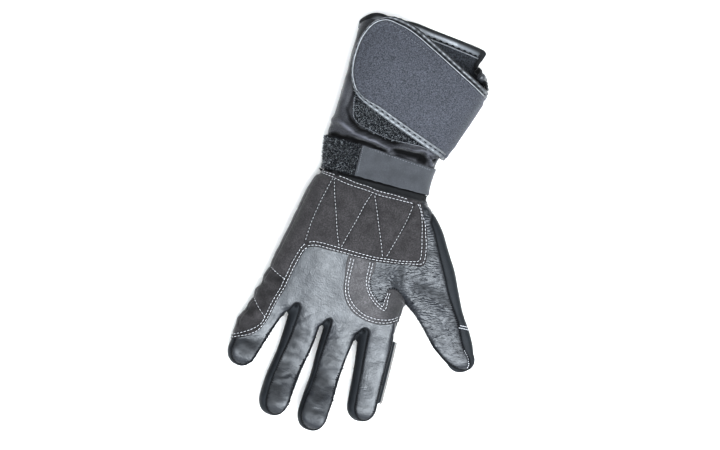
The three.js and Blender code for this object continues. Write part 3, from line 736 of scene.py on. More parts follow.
def capped(rings):
    """A closed body over rings of points, with a fan over each end."""
    body = grid(rings)
    count, sides = rings.shape[:2]
    hubs = np.stack([rings[0].mean(0), rings[-1].mean(0)])
    first = len(body.points)
    a = np.arange(sides)
    b = (a + 1) % sides
    last = (count - 1) * sides
    fans = [
        np.stack([np.full(sides, first), a, b], 1),
        np.stack([np.full(sides, first + 1), last + b, last + a], 1),
    ]
    return Skin(np.concatenate([body.points, hubs]), np.concatenate([body.faces, *fans]))


def outward(skin):
    """The same body with its faces turned out."""
    a, b, c = (skin.points[corner] for corner in skin.faces.T)
    if (a * np.cross(b, c)).sum() < 0:
        skin.faces = skin.faces[:, ::-1]
    return skin


def together(skins):
    """Several surfaces as one, with the values that all of them have."""
    shift = np.cumsum([0] + [len(skin.points) for skin in skins[:-1]])
    shared = set.intersection(*(set(skin.values) for skin in skins))
    return Skin(
        np.concatenate([skin.points for skin in skins]),
        np.concatenate([skin.faces + start for skin, start in zip(skins, shift)]),
        {name: np.concatenate([skin.values[name] for skin in skins]) for name in sorted(shared)},
    )


def rings_of(rows, across, sides, grow=0.0, shoulders=(SHOULDER, SHOULDER)):
    """A rounded section for each row of x, y, half width, underside and top."""
    x, y, half, low, top = (column[:, None] for column in rows.T)
    angle = 2 * math.pi * (np.arange(sides) + 0.5) / sides
    shoulder = np.where(np.cos(angle) < 0, *shoulders)
    power = 2 / np.where(np.sin(angle) > 0, shoulder, SQUARENESS)
    out = np.sign(np.cos(angle)) * np.abs(np.cos(angle)) ** power
    up = np.sign(np.sin(angle)) * np.abs(np.sin(angle)) ** power
    middle = low + (top - low) * WAIST
    depth = np.where(up > 0, top - middle + grow, (middle - low) * 1.12 + grow)
    z = np.maximum(middle + up * depth, low + max(0.0, -grow))
    reach = out * (half + grow)
    return np.stack([x + across[:, :1] * reach, y + across[:, 1:] * reach, z], -1)


def finger_rings(name, sides=72, step=1.6, tip_rings=16):
    tip, table = FINGERS[name]
    table = np.array(table, float)
    keys = lengths(table[:, :2])
    rows = curve(table, keys, np.linspace(0, keys[-1], round(keys[-1] / step)))
    way = unit(np.gradient(rows[:, :2], axis=0))
    across = np.stack([-way[:, 1], way[:, 0]], 1)
    if name == "thumb":
        across[:] = THUMB_ACROSS
    shoulders = THUMB_SHOULDERS if name == "thumb" else FINGER_SHOULDERS
    rings = rings_of(rows, across, sides, shoulders=shoulders)
    end = np.array([rows[-1, 0], rows[-1, 1], rows[-1, 3] + (rows[-1, 4] - rows[-1, 3]) * WAIST])
    ahead = np.array([*way[-1], 0.0])
    tips = []
    for turn in np.linspace(0, math.pi / 2, tip_rings + 1)[1:]:
        shrink = max(math.cos(turn), 0.01) ** 0.9
        tips.append(end + (rings[-1] - end) * shrink + ahead * tip * math.sin(turn))
    return np.concatenate([rings, tips])


def section_rows(table, step, start=None, end=None):
    table = np.array(table, float)
    order = np.argsort(table[:, 0])
    y, left, right, top = table[order].T
    at = np.arange(y[0] if start is None else start, y[-1] if end is None else end, step)
    left, right, top = curve(np.stack([left, right, top], 1), y, at).T
    return np.stack([(left + right) / 2, at, (right - left) / 2, 0 * at, top], 1)


def straight_across(rows):
    return np.tile([1.0, 0.0], (len(rows), 1))


def palm_rings(sides=200, step=1.8, end_rings=12):
    rows = section_rows(HAND_SECTIONS, step)[::-1]
    rings = rings_of(rows, straight_across(rows), sides)
    last = rows[-1]
    middle = last[4] * WAIST
    ends = []
    for share in np.linspace(0, 1, end_rings + 1)[1:]:
        turn = share * math.pi / 2
        lower = max(math.cos(turn), 0.02) ** 0.4
        ring = rings[-1].copy()
        ring[:, 0] = last[0] + (ring[:, 0] - last[0]) * (1 - 0.05 * share)
        farther = HAND_END + HAND_END_MORE * step_up(ring[:, 0], -46, -30)
        ring[:, 1] = last[1] - farther * math.sin(turn)
        ring[:, 2] = middle + (ring[:, 2] - middle) * lower
        ends.append(ring)
    return np.concatenate([rings, ends])


@cache
def cuff_surface(grow=0.0, start=33.0, end=177.0, step=1.0, sides=260, fine_sides=900):
    """The cuff as an even net of points, from inside the hand to past the mouth."""
    rows = section_rows(CUFF_SECTIONS, step, start, end)
    fine = rings_of(rows, straight_across(rows), fine_sides, grow)
    rings = np.empty((len(rows), sides, 3))
    for ring, source in zip(rings, fine):
        loop = np.concatenate([source, source[:1]])
        along = lengths(loop)
        even = np.linspace(0, along[-1], sides, endpoint=False)
        ring[:] = np.column_stack([np.interp(even, along, column) for column in loop.T])
    return facing_out(grid(rings))


def facing_out(skin):
    """Turns the faces of a surface round the glove's own middle line outwards."""
    if (skin.normals()[:, 2] * (skin.points[:, 2] - CUFF_MIDDLE)).sum() < 0:
        skin.faces = skin.faces[:, ::-1]
    return skin


def remeshed(body, size):
    """One even surface round all that the body's parts hold."""
    mesh = bpy.data.meshes.new("remesh")
    mesh.from_pydata(body.points.tolist(), [], body.faces.tolist())
    holder = bpy.data.objects.new("remesh", mesh)
    bpy.context.scene.collection.objects.link(holder)
    modifier = holder.modifiers.new("remesh", "REMESH")
    modifier.mode = "VOXEL"
    modifier.voxel_size = size
    graph = bpy.context.evaluated_depsgraph_get()
    made = holder.evaluated_get(graph).to_mesh()
    made.calc_loop_triangles()
    points = np.empty(len(made.vertices) * 3)
    made.vertices.foreach_get("co", points)
    faces = np.empty(len(made.loop_triangles) * 3, int)
    made.loop_triangles.foreach_get("vertices", faces)
    holder.to_mesh_clear()
    bpy.data.objects.remove(holder)
    bpy.data.meshes.remove(mesh)
    return Skin(points.reshape(-1, 3), faces.reshape(-1, 3))


# The hand's surface and its panels

def face_outline(name):
    """The leather face of a finger: its edges taken in, with a half-round tip."""
    tip, table = FINGERS[name]
    table = np.array(table, float)
    centre = table[:, :2]
    way = unit(np.gradient(centre, lengths(centre), axis=0))
    right = np.stack([-way[:, 1], way[:, 0]], 1)
    half = table[:, 2:3]
    left_edge = centre - right * (half - np.array(FACE_INSET[name])[:, None])
    right_edge = centre + right * (half - FACE_INSET_RIGHT[name])
    middle = (left_edge[-1] + right_edge[-1]) / 2
    reach = (right_edge[-1] - left_edge[-1]) / 2
    turns = np.linspace(math.pi, 0, 11)[1:-1]
    length = tip - FACE_INSET_TIP
    tip_line = [middle + reach * math.cos(t) + way[-1] * length * math.sin(t) for t in turns]
    keys = lengths(centre)
    fine = np.linspace(0, keys[-1], 30)
    left_line, right_line = curve(left_edge, keys, fine), curve(right_edge, keys, fine)
    return np.concatenate([left_line, tip_line, right_line[::-1]])


def finger_side(points):
    """The nearest finger's number for each point, and its distance to the right of that finger."""
    gaps, sides = [], []
    for name, (_, table) in FINGERS.items():
        line = np.array([PALM_ROOTS[name]] + [row[:2] for row in table], float)
        ahead = line[-1] + (line[-1] - line[-2]) * 3
        line = drawn(np.concatenate([line, [ahead]]), 4.0)
        gaps.append(beside(points, line))
        way = np.gradient(line, axis=0)
        nearest = np.argmin(np.hypot(*(points[:, k, None] - line[:, k] for k in (0, 1))), axis=1)
        offset = points[:, :2] - line[nearest]
        turned = way[nearest, 1] * offset[:, 0] - way[nearest, 0] * offset[:, 1]
        sides.append(-turned / np.linalg.norm(way[nearest], axis=1))
    gaps, sides = np.array(gaps), np.array(sides)
    nearest = np.argmin(gaps, axis=0)
    return nearest, sides[nearest, np.arange(len(points))]


def hand_values(points):
    z = points[:, 2]
    fingers = np.max([inside(points, face_outline(name)) for name in FACE_INSET], axis=0)
    palm = blended(inside(points, drawn(PALM_PLAN, 3, True)), fingers, FACE_FILLET)
    thumb = inside(points, drawn(THUMB_FACE, 2, True))
    over = z - FACE_FLOOR
    return {
        "face": np.minimum(np.maximum(palm, thumb), over),
        "thumb": thumb,
        "back": BACK_SEAM + 0.7 * rough(points, 40, 3) - z,
        "side": finger_side(points)[1],
        "pad": np.minimum(inside(points, drawn(PALM_PAD, 2, True)), over + PAD_LOWER),
        "patch": np.minimum(inside(points, drawn(CROTCH_PATCH, 1.5, True)), over),
        "wrist": WRIST - points[:, 1],
    }


def hole_gaps(points):
    """Distance, seen from above, to each of the holes between the fingers."""
    return np.array([np.hypot(points[:, 0] - x, points[:, 1] - y) for x, y in CROTCH_HOLES])


@cache
def bare_hand():
    """The hand's smooth outer surface with the values that its panels are cut by."""
    size = mm(sizes().skin_grain)
    parts = [outward(capped(palm_rings()))]
    parts += [outward(capped(finger_rings(name))) for name in FINGERS]
    filling = np.array(THUMB_WEB, float)
    parts.append(outward(capped(rings_of(filling, np.tile([0.0, 1.0], (len(filling), 1)), 72))))
    skin = outward(remeshed(together(parts), size)).relaxed(10)
    # The hollows between the fingers, and between the thumb and the palm, are rounded out.
    web = 0.8 * bell(np.hypot(*(skin.points[:, :2] - THUMB_HOLLOW).T), 17)
    heel = bell(beside(skin.points, HEEL_JOIN), 16)
    join = 0.8 * bell(beside(skin.points, ROOT_JOIN), 9)
    join *= (1 - bell(hole_gaps(skin.points).min(0), 5)) * step_up(skin.points[:, 2], 16, 22)
    soften = np.clip(web + heel + join, 0, 1)
    skin = skin.relaxed(70, soften, shares=(0.5,))
    skin.values = hand_values(skin.points)
    skin = skin.inner_side("wrist")
    for name in ("face", "back", "thumb", "pad", "patch"):
        skin = skin.snapped(name, size)
        skin = skin.cut(name)
    return skin.cut("side", reach=4.0)


def folded(points, folds, wander):
    """Height of ridges and valleys along lines that wander a little, seen from above. They run
    out at their ends."""
    height = np.zeros(len(points))
    points = points[:, :2] + wander * np.stack([rough(points, 9, seed) for seed in (5, 6)], 1)
    for width, rise, line in folds:
        line = drawn(line, 2.0)
        chord = line[-1] - line[0]
        low, high = line.min(0) - 3 * width, line.max(0) + 3 * width
        near = np.all((points > low) & (points < high), axis=1)
        share = (points[near] - line[0]) @ chord / (chord @ chord)
        fade = step_up(np.minimum(share, 1 - share), -0.12, 0.28)
        height[near] += rise * fade * bell(beside(points[near], line), width)
    return height


def crotch_rays(points):
    """Fine creases that run out from the tops of the gaps between the fingers."""
    gaps = hole_gaps(points)
    nearest = np.argmin(gaps, axis=0)
    offset = points[:, :2] - np.array(CROTCH_HOLES)[nearest]
    turn = np.arctan2(offset[:, 1], offset[:, 0])
    creases = rough(np.stack([5 * turn, gaps.min(0) / 9, nearest], 1), 1, 10)
    return creases * step_up(-offset[:, 1], -5, 3)


def painted_shades(points):
    """Painted shade: how dark the leather is painted for the shade of its folds and sides, from 0 to
    about 1.
    """
    total = np.zeros(len(points))
    for width, share, line in LEATHER_PAINTED_SHADES:
        total = np.maximum(total, share * bell(beside(points, drawn(line, 2.0)), width))
    return total


def leather_relief(skin):
    """Puffs the panels up between their seams, and lays in wrinkles and dents."""
    points = skin.points
    seam = np.minimum(*(
        np.maximum(skin.reach(skin.values[name]), skin.to_line(name) - 0.5)
        for name in ("face", "back")
    ))
    leather = step_up(skin.values["face"], -0.6, 0.6)
    width, depth = mm(sizes().seam_width), mm(sizes().seam_depth)
    puff = leather * LEATHER_PUFF * (1 - bell(seam, 3.0)) - STRIP_SINK * (1 - leather)
    puff -= depth * (0.45 + 0.2 * leather) * bell(seam, width * (1 - 0.35 * leather))
    holes = hole_gaps(points).min(0)
    top = step_up(points[:, 2], 9, 15)
    rim = leather * bell(seam - 1.2, 0.8) * bell(holes, 5)
    hole = bell(holes, 1.3) * top
    drift = np.stack([rough(points, 11, seed) for seed in (91, 92, 93)], 1)
    loose = points + DENT_DRIFT * drift
    dents = uneven(loose, LEATHER_DENTS)
    wrinkles = uneven(loose, LEATHER_WRINKLES)
    rays = RAY_HEIGHT * crotch_rays(points) * bell(holes - 8, 6)
    on_fingers = step_up(-points[:, 1], 70, 88)
    folds = folded(points, LEATHER_FOLDS, 2.0)
    under_strap = step_up(points[:, 1], 30.5, 33.5)
    puff -= UNDER_STRAP * under_strap
    # The seam value darkens the seam valleys, partly as the seams' own dark edge and partly as painted
    # shade, and holds painted shade in the holes between the fingers and under the strap.
    skin.values["seam"] = np.maximum.reduce([bell(seam, 0.8 - 0.3 * leather), hole, under_strap])
    on_thumb = step_up(skin.values["thumb"], -2, 4)
    dents *= 1 - 0.7 * on_thumb
    wrinkles *= 1 - 0.8 * on_thumb
    on_index = step_up(points[:, 0], 0, 6) * on_fingers
    wrinkles *= 1 - 0.7 * on_index
    dents *= 1 - 0.4 * on_index
    # Painted shade on the fingertips, folds and slopes, a little uneven, kept as the tone.
    patchy = 0.8 + 0.7 * rough(points, (8, 5, 9), 9)
    skin.values["tone"] = np.clip(painted_shades(points) * patchy, 0, 1)
    dents *= 0.5 + 0.5 * on_fingers
    wrinkles *= 0.3 + 0.7 * on_fingers
    surface = dents + wrinkles + folds + rays
    puff += HOLE_RIM * rim - HOLE_DEPTH * hole
    return puff + top * surface * (0.25 + 0.75 * leather)


@cache
def dressed_hand():
    """The hand's surface with its relief."""
    skin = bare_hand().copy()
    skin = skin.raised(leather_relief(skin))
    skin.points[:, 2] = np.maximum(skin.points[:, 2], LOWEST)
    return skin


@cache
def panel_names():
    """The panel that each of the hand's triangles belongs to."""
    skin = dressed_hand()
    number, _ = finger_side(skin.points[skin.faces].mean(1))
    right = skin.middles("side") > 0
    strips = np.array([
        ("pinky_side_strip", "fourchette_ring_pinky"),
        ("fourchette_ring_pinky", "fourchette_middle_ring"),
        ("fourchette_middle_ring", "fourchette_index_middle"),
        ("fourchette_index_middle", "index_thumb_side_strip"),
        ("index_thumb_side_strip", "thumb_side_panel"),
    ])
    names = strips[number, right.astype(int)]
    face, thumb = skin.middles("face") > 0, skin.middles("thumb") > 0
    names = np.where(face, "palm_leather", names)
    names = np.where(face & thumb, "thumb_leather", names)
    return np.where(skin.middles("back") > 0, "back_panel", names)


@cache
def hand_panel(name):
    return dressed_hand().part(panel_names() == name)


# Blender objects

def sizes():
    return bpy.context.scene.glove_sizes


def colours():
    return bpy.context.scene.glove_colours


def placed(name, skin, materials, nodes=(), sharp=55, inner=0):
    """A piece of the glove as an object in metres, on the root body."""
    mesh = bpy.data.meshes.new(name)
    mesh.vertices.add(len(skin.points))
    mesh.vertices.foreach_set("co", (skin.points * METRES).ravel())
    count = len(skin.faces)
    mesh.loops.add(3 * count)
    mesh.loops.foreach_set("vertex_index", skin.faces.ravel())
    mesh.polygons.add(count)
    mesh.polygons.foreach_set("loop_start", np.arange(0, 3 * count, 3))
    for material in materials:
        mesh.materials.append(material)
    if inner:
        index = np.zeros(count, int)
        index[skin.inner_from:] = inner
        mesh.polygons.foreach_set("material_index", index)
    for value in ("seam", "tone"):
        if value in skin.values:
            attribute = mesh.attributes.new(value, "FLOAT", "POINT")
            attribute.data.foreach_set("value", skin.values[value])
    mesh.update(calc_edges=True)
    mesh.validate()
    mesh.polygons.foreach_set("use_smooth", np.ones(len(mesh.polygons), bool))
    mesh.set_sharp_from_angle(angle=math.radians(sharp))
    piece = bpy.data.objects.new(name, mesh)
    bpy.context.scene.collection.objects.link(piece)
    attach(piece, "root")
    if nodes:
        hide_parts(*nodes)
    return piece


# Finishes

class Finish:
    """A material, with short calls for the nodes that the glove's finishes share."""

    def __init__(self, name, colour, roughness, gloss, sheen=0.0, sheen_roughness=0.5):
        self.colour = tuple(getattr(colours(), colour))
        self.material = bpy.data.materials.new(name)
        self.material.use_nodes = True
        self.tree = self.material.node_tree
        self.shader = self.tree.nodes["Principled BSDF"]
        self.shader.inputs["Base Color"].default_value = (*self.colour, 1)
        for socket, level in (
            ("Roughness", roughness), ("Specular IOR Level", gloss),
            ("Sheen Weight", sheen), ("Sheen Roughness", sheen_roughness),
        ):
            self.shader.inputs[socket].default_value = level
        self.place = self.node("ShaderNodeTexCoord").outputs["Object"]

    def node(self, kind, inputs=None, **settings):
        made = self.tree.nodes.new(kind)
        for key, value in settings.items():
            setattr(made, key, value)
        for key, value in (inputs or {}).items():
            if isinstance(value, bpy.types.NodeSocket):
                self.tree.links.new(value, made.inputs[key])
            else:
                made.inputs[key].default_value = value
        return made

    def stretched(self, along):
        """The place on the glove, stretched by a factor for x, y and z."""
        return self.node("ShaderNodeMapping", {"Vector": self.place, "Scale": along}).outputs[0]

    def noise(self, size, detail=2.0, place=None, harsh=0.5):
        """Noise with features of a size in millimetres."""
        inputs = {
            "Vector": place or self.place, "Scale": 1 / (size * METRES), "Detail": detail,
            "Roughness": harsh,
        }
        return self.node("ShaderNodeTexNoise", inputs).outputs[0]

    def cells(self, size, feature="F1", place=None):
        inputs = {"Vector": place or self.place, "Scale": 1 / (size * METRES)}
        return self.node("ShaderNodeTexVoronoi", inputs, feature=feature).outputs["Distance"]

    def ranged(self, value, low, high, new_low=0.0, new_high=1.0):
        inputs = {0: value, 1: low, 2: high, 3: new_low, 4: new_high}
        return self.node("ShaderNodeMapRange", inputs).outputs[0]

    def maths(self, operation, first, second=0.0):
        return self.node("ShaderNodeMath", {0: first, 1: second}, operation=operation).outputs[0]

    def kept(self, name):
        """A value kept at the mesh's points."""
        return self.node("ShaderNodeAttribute", attribute_name=name).outputs["Fac"]

    def scaled(self, name, share):
        return self.maths("MULTIPLY", self.kept(name), share)

    def tinted(self, share, colour):
        """Mixes a colour into the base colour by a share."""
        base = self.shader.inputs["Base Color"]
        before = base.links[0].from_socket if base.links else tuple(base.default_value)
        inputs = {0: share, 6: before, 7: (*colour, 1)}
        mix = self.node("ShaderNodeMix", inputs, data_type="RGBA")
        self.tree.links.new(mix.outputs[2], base)

    def shaded(self, share, factor):
        """Mixes in the finish's own colour times a factor, by a share."""
        self.tinted(share, times(self.colour, factor))

    def mottled(self, size, detail, low, high, share, factor):
        """The same in clouds of a size, where noise rises from a low to a high level."""
        self.shaded(self.ranged(self.noise(size, detail), low, high, 0, share), factor)

    def darkened_by(self, name, share, factor):
        """The same by a value kept at the mesh's points, such as painted shade."""
        self.shaded(self.scaled(name, share), factor)

    def roughened(self, value):
        self.tree.links.new(value, self.shader.inputs["Roughness"])

    def sheened(self, size, low, high, dull):
        """Roughness from low to high in clouds of a size, and rougher by a dulling value."""
        sheen = self.ranged(self.noise(size, 4), 0.3, 0.7, low, high)
        self.roughened(self.maths("ADD", sheen, self.maths("MULTIPLY", dull, DULLED)))

    def bumped(self, height, depth):
        """Adds a relief of a depth in millimetres."""
        inputs = {"Height": height, "Distance": depth * METRES, "Strength": 1.0}
        normal = self.shader.inputs["Normal"]
        if normal.links:
            inputs["Normal"] = normal.links[0].from_socket
        self.tree.links.new(self.node("ShaderNodeBump", inputs).outputs[0], normal)


def times(colour, factor):
    return tuple(min(1.0, channel * factor) for channel in colour)


@cache
def smooth_leather():
    """Smooth leather with fine pores and a soft sheen, darker in the seams partly by painted shade, and
    with painted shade on its folds and slopes.
    """
    made = Finish("smooth leather", "palm_leather", 0.4, 0.82)
    made.mottled(17, 3, 0.35, 0.7, 1, 1.35)
    made.mottled(1.3, 2, 0.45, 0.75, 0.5, 0.6)
    made.darkened_by("tone", 0.8, 0.35)
    made.darkened_by("seam", 0.9, 0.1)
    made.sheened(6, 0.32, 0.44, made.maths("MAXIMUM", made.kept("seam"), made.scaled("tone", 0.65)))
    made.bumped(made.cells(1.2), 0.11)
    made.bumped(made.noise(1.8, 3, made.stretched((0.5, 1.2, 1.0))), 0.2)
    return made.material


@cache
def grained_leather():
    """Leather with a coarse wavy grain, with painted shade in the grain's hollows, on its slopes and in
    its seams.
    """
    made = Finish("grained leather", "thumb_leather", 0.38, 0.75)
    made.mottled(14, 3, 0.4, 0.7, 1, 1.4)
    made.darkened_by("tone", 0.55, 0.3)
    made.darkened_by("seam", 0.9, 0.1)
    made.sheened(5, 0.32, 0.45, made.kept("seam"))
    made.bumped(made.cells(1.3, "SMOOTH_F1", made.stretched((0.7, 1.2, 1.0))), 0.13)
    made.bumped(made.cells(0.8), 0.06)
    return made.material


@cache
def suede(colour):
    """Brushed suede: matt, with a short nap and lighter rubbing streaks. It is darkened by its tone,
    and by painted shade along its stitch rows and edges.
    """
    made = Finish(colour, colour, 0.92, 0.25, sheen=0.25, sheen_roughness=0.45)
    nap = made.noise(1.0, 3, harsh=0.75)
    made.shaded(made.ranged(nap, 0.42, 0.66, 0, 0.9), 2.2)
    made.mottled(9, 4, 0.42, 0.72, 0.55, 0.6)
    streaks = made.noise(5, 4, made.stretched((2.2, 0.5, 1.0)))
    made.shaded(made.ranged(streaks, 0.55, 0.8, 0, 0.4), 1.7)
    made.darkened_by("tone", 0.9, 0.35)
    made.darkened_by("seam", 0.5, 0.35)
    made.bumped(nap, 0.2)
    return made.material


@cache
def softshell():
    """Close-knit soft shell for the side strips and the back."""
    made = Finish("softshell", "softshell", 0.62, 0.3, sheen=0.05)
    made.mottled(8, 3, 0.4, 0.7, 0.7, 1.5)
    # Painted shade along the seams and in the holes between the fingers, rougher there too.
    made.darkened_by("seam", 0.9, 0.1)
    made.roughened(made.ranged(made.kept("seam"), 0.0, 0.7, 0.6, 1.0))
    knit = made.cells(0.7, place=made.stretched((1.0, 0.7, 1.0)))
    made.shaded(made.ranged(knit, 0.2, 0.7, 0.35, 0), 1.8)
    made.bumped(knit, 0.09)
    made.bumped(made.noise(4, 3), 0.2)
    return made.material


def woven(name, colour, fleck, fleck_share, roughness, yarn, gloss=0.35):
    """Coarse woven textile with lighter flecks where threads come up."""
    made = Finish(name, colour, roughness, gloss, sheen=0.2, sheen_roughness=0.4)
    made.mottled(22, 3, 0.4, 0.7, 0.5, 1.3)
    warp = made.noise(yarn, 1, made.stretched((1.0, 0.45, 1.0)))
    weft = made.noise(yarn, 1, made.stretched((0.45, 1.0, 1.0)))
    weave = made.maths("MAXIMUM", warp, weft)
    made.shaded(made.ranged(weave, 0.53, 0.7, 0, fleck_share), fleck)
    made.shaded(made.ranged(weave, 0.54, 0.44, 0, 0.7), 0.4)
    made.bumped(weave, 0.22)
    return made


@cache
def flap_textile():
    return woven("flap textile", "flap_textile", 2.2, 0.6, 0.8, 0.62).material


@cache
def sleeve_textile():
    """Satin-like textile, with a painted highlight on its crests, and painted shade in its folds, which
    are rougher too.
    """
    made = woven("sleeve textile", "sleeve_textile", 1.8, 0.3, 0.5, 0.5, 0.25)
    made.tinted(made.scaled("tone", 0.9), tuple(colours().sleeve_crest_highlight))
    made.darkened_by("seam", 0.95, 0.05)
    made.roughened(made.ranged(made.kept("seam"), 0.0, 0.5, 0.5, 1.0))
    return made.material


@cache
def lining():
    made = woven("lining", "lining", 2.5, 0.6, 0.9, 0.8)
    made.bumped(made.noise(1.0, 3), 0.25)
    return made.material


@cache
def strap_suede():
    """Short-napped strap tape, a little greyer than the palm's suede."""
    made = Finish("strap suede", "strap", 0.88, 0.3, sheen=0.25)
    made.shaded(made.ranged(made.noise(0.8, 3, harsh=0.7), 0.4, 0.75, 0, 0.6), 1.6)
    made.mottled(11, 3, 0.45, 0.7, 0.45, 0.65)
    made.bumped(made.noise(0.9, 3, harsh=0.7), 0.1)
    return made.material


@cache
def loop_yarn():
    """Loops from near black to light grey, each by its own tone."""
    made = Finish("loop yarn", "loop_tape", 0.6, 0.5, sheen=0.2)
    made.tinted(made.kept("tone"), tuple(colours().loop_light))
    made.bumped(made.noise(0.3, 1), 0.05)
    return made.material


@cache
def binding_leather(name="binding leather", highlighted=1.0):
    """Thin edging leather, shinier and a little lighter than the palm's, with painted highlights and
    painted shade from the values kept at its points.
    """
    made = Finish(name, "binding", 0.32, 0.85)
    made.mottled(7, 3, 0.4, 0.7, 0.6, 1.35)
    made.tinted(made.scaled("tone", 0.9), times(colours().binding_highlight, highlighted))
    made.darkened_by("seam", 0.8, 0.1)
    made.sheened(3, 0.28, 0.42, made.kept("seam"))
    made.bumped(made.noise(1.4, 4), 0.12)
    return made.material


@cache
def thread(colour, gloss=0.5):
    """Twisted sewing thread."""
    made = Finish(colour.replace("_", " "), colour, 0.6, gloss, sheen=0.4 * gloss)
    made.mottled(0.5, 2, 0.45, 0.7, 0.5, 0.6)
    made.bumped(made.noise(0.35, 1, made.stretched((1.0, 1.0, 0.4))), 0.06)
    return made.material


@cache
def plain(name, colour, roughness, gloss, clouds, pores, depth):
    """A plain finish with clouds of another shade, and pores of a size and a depth."""
    made = Finish(name, colour, roughness, gloss)
    made.mottled(*clouds)
    if depth:
        made.bumped(made.noise(pores, 2), depth)
    return made.material


def loop_ground():
    """The knitted ground that the loops stand on."""
    clouds = (0.9, 2, 0.5, 0.72, 0.8, 3.0)
    return plain("loop tape ground", "loop_tape", 0.95, 0.2, clouds, 0.8, 0.25)


def piping():
    return plain("piping", "piping", 0.35, 0.6, (3, 3, 0.4, 0.7, 0.6, 0.6), 0.8, 0.05)


def flange_rubber():
    return plain("flange rubber", "rubber", 0.6, 0.25, (5, 3, 0.4, 0.7, 0.5, 1.6), 1.1, 0.05)


def blade_rubber():
    """Milky rubber for the wiping edge."""
    return plain("blade rubber", "blade", 0.4, 0.4, (6, 3, 0.4, 0.7, 0.4, 0.8), 1.5, 0.04)


def floor_paint():
    return plain("floor", "floor", 0.8, 0.2, (400, 2, 0.4, 0.7, 0.2, 0.98), 0, 0)


# Lines that follow a surface

def settled(points, tree):
    """The nearest place on a surface for each point, and the surface's normal there."""
    found = [tree.find_nearest(Vector(point)) for point in points]
    return np.array([hit[0] for hit in found]), np.array([hit[1] for hit in found])


def dropped(line, tree, height=90.0):
    """Points of a flat line let down on a surface from above, with the normals there."""
    places, normals = [], []
    for x, y in line:
        place, normal, _, _ = tree.ray_cast(Vector((x, y, height)), Vector((0, 0, -1)))
        if place is not None:
            places.append(place)
            normals.append(normal)
    return np.array(places), np.array(normals)


def evened(points, step):
    """A line of points with even steps."""
    along = lengths(points)
    even = np.linspace(0, along[-1], max(2, round(along[-1] / step) + 1))
    return np.column_stack([np.interp(even, along, column) for column in points.T])


def rim_lines(skin, chosen):
    """The rim's edges that start at chosen points, as lines of points in order."""
    edges = skin.rim()
    edges = edges[chosen[edges[:, 0]] & chosen[edges[:, 1]]]
    following = dict(edges.tolist())
    starts = sorted(set(following) - set(following.values()))
    lines = []
    while following:
        at = starts.pop(0) if starts else min(following)
        line = [at]
        while at in following:
            at = following.pop(at)
            line.append(at)
        lines.append(skin.points[line])
    return sorted(lines, key=len, reverse=True)


def calmed(line, turns):
    """A line of points evened out, with its two ends kept."""
    line = line.copy()
    for _ in range(turns):
        line[1:-1] += 0.5 * ((line[:-2] + line[2:]) / 2 - line[1:-1])
    return line


def swept(path, across, tree, profile, flip=1.0, floor=None):
    """A band along a path that lies on a surface. The profile's columns say how far across
    the path and how far above the surface each of its points is, and it closes on itself."""
    rings = []
    for side, up in profile:
        places, normals = settled(path + across * np.asarray(side)[..., None], tree)
        rings.append(places + flip * normals * np.asarray(up)[..., None])
    rings = np.stack(rings, axis=1)
    if floor is not None:
        rings[..., 2] = np.maximum(rings[..., 2], floor)
    return outward(capped(rings))


def tubes(centre, first, second, radius, sides):
    """Rings of points round lines, in the plane of two directions at each point of a line."""
    angle = 2 * math.pi * np.arange(sides) / sides
    ring = (
        first[..., None, :] * np.cos(angle)[:, None] + second[..., None, :] * np.sin(angle)[:, None]
    )
    return centre[..., None, :] + ring * radius[:, None, None]


def stitched(points, normals, length, pitch, radius, lift=0.12, sides=5, stations=5):
    """Single stitches along a line of places with normals."""
    line = np.hstack([points, normals])
    along = lengths(points)
    count = int((along[-1] + 0.01) // pitch)
    if count < 1:
        return []
    share = np.linspace(0, 1, stations)
    starts = np.arange(count) * pitch + (along[-1] - (count - 1) * pitch - length) / 2
    at = starts[:, None] + share * length
    centre = np.stack([np.interp(at, along, column) for column in line.T], -1)
    up = unit(centre[..., 3:])
    middle = centre[..., :3] + up * ((np.sin(share * math.pi) - 0.35) * lift)[None, :, None]
    way = unit(np.gradient(middle, axis=1))
    side = unit(np.cross(way, up))
    thick = radius * (0.35 + 0.65 * np.sin(np.clip(share, 0.02, 0.98) * math.pi) ** 0.4)
    rings = tubes(middle, side, np.cross(side, way), thick, sides)
    return [outward(capped(stitch)) for stitch in rings]


def overcast(line, tree, length, pitch, radius):
    """Short stitches across the edge of a panel. Its inside lies to the line's left."""
    places, normals = settled(calmed(evened(line, pitch), 3), tree)
    inward = unit(np.cross(normals, np.gradient(places, axis=0)))
    made = []
    for place, up, side in zip(places, normals, inward):
        ends = np.array([place - side * 0.1 * length, place + side * 0.9 * length])
        made += stitched(ends + up * 0.15, np.array([up, up]), length, length, radius, lift=0.4)
    return made


# Pieces of the hand

def panel_piece(name, material, nodes):
    wall = hand_panel(name).thickened(mm(sizes().leather))
    return placed(name, wall, [material], nodes)


def coarse_grain(panel):
    """Wavy pebbled grain, worked into the surface itself."""
    panel = panel.finer()
    points = panel.points
    turned = points @ np.array(GRAIN_TURN)
    waves = np.sin(2 * math.pi * (turned[:, 1] + uneven(turned, GRAIN_DRIFT)) / GRAIN_PITCH)
    patches = rough(turned, (3.8, 2.4, 3), 23)
    ridges = waves * (0.75 + 0.6 * patches) + uneven(turned, GRAIN_PEBBLES)
    smooth_tip = 1 - 0.8 * step_up(-points[:, 1], 78, 90)
    inner = (1 - panel.values["seam"]) * smooth_tip
    # Painted shade in the grain's hollows, kept as the tone.
    grain = step_up(-ridges, 0.0, 0.9) * inner
    panel.values["tone"] = grain
    # Painted shade on the thumb's slopes and folds, kept in the seam value.
    shaded = np.clip(painted_shades(points) * (0.8 + 0.5 * patches), 0, 1)
    panel.values["seam"] = np.maximum(panel.values["seam"], shaded)
    return panel.raised(GRAIN_HEIGHT * inner * ridges)


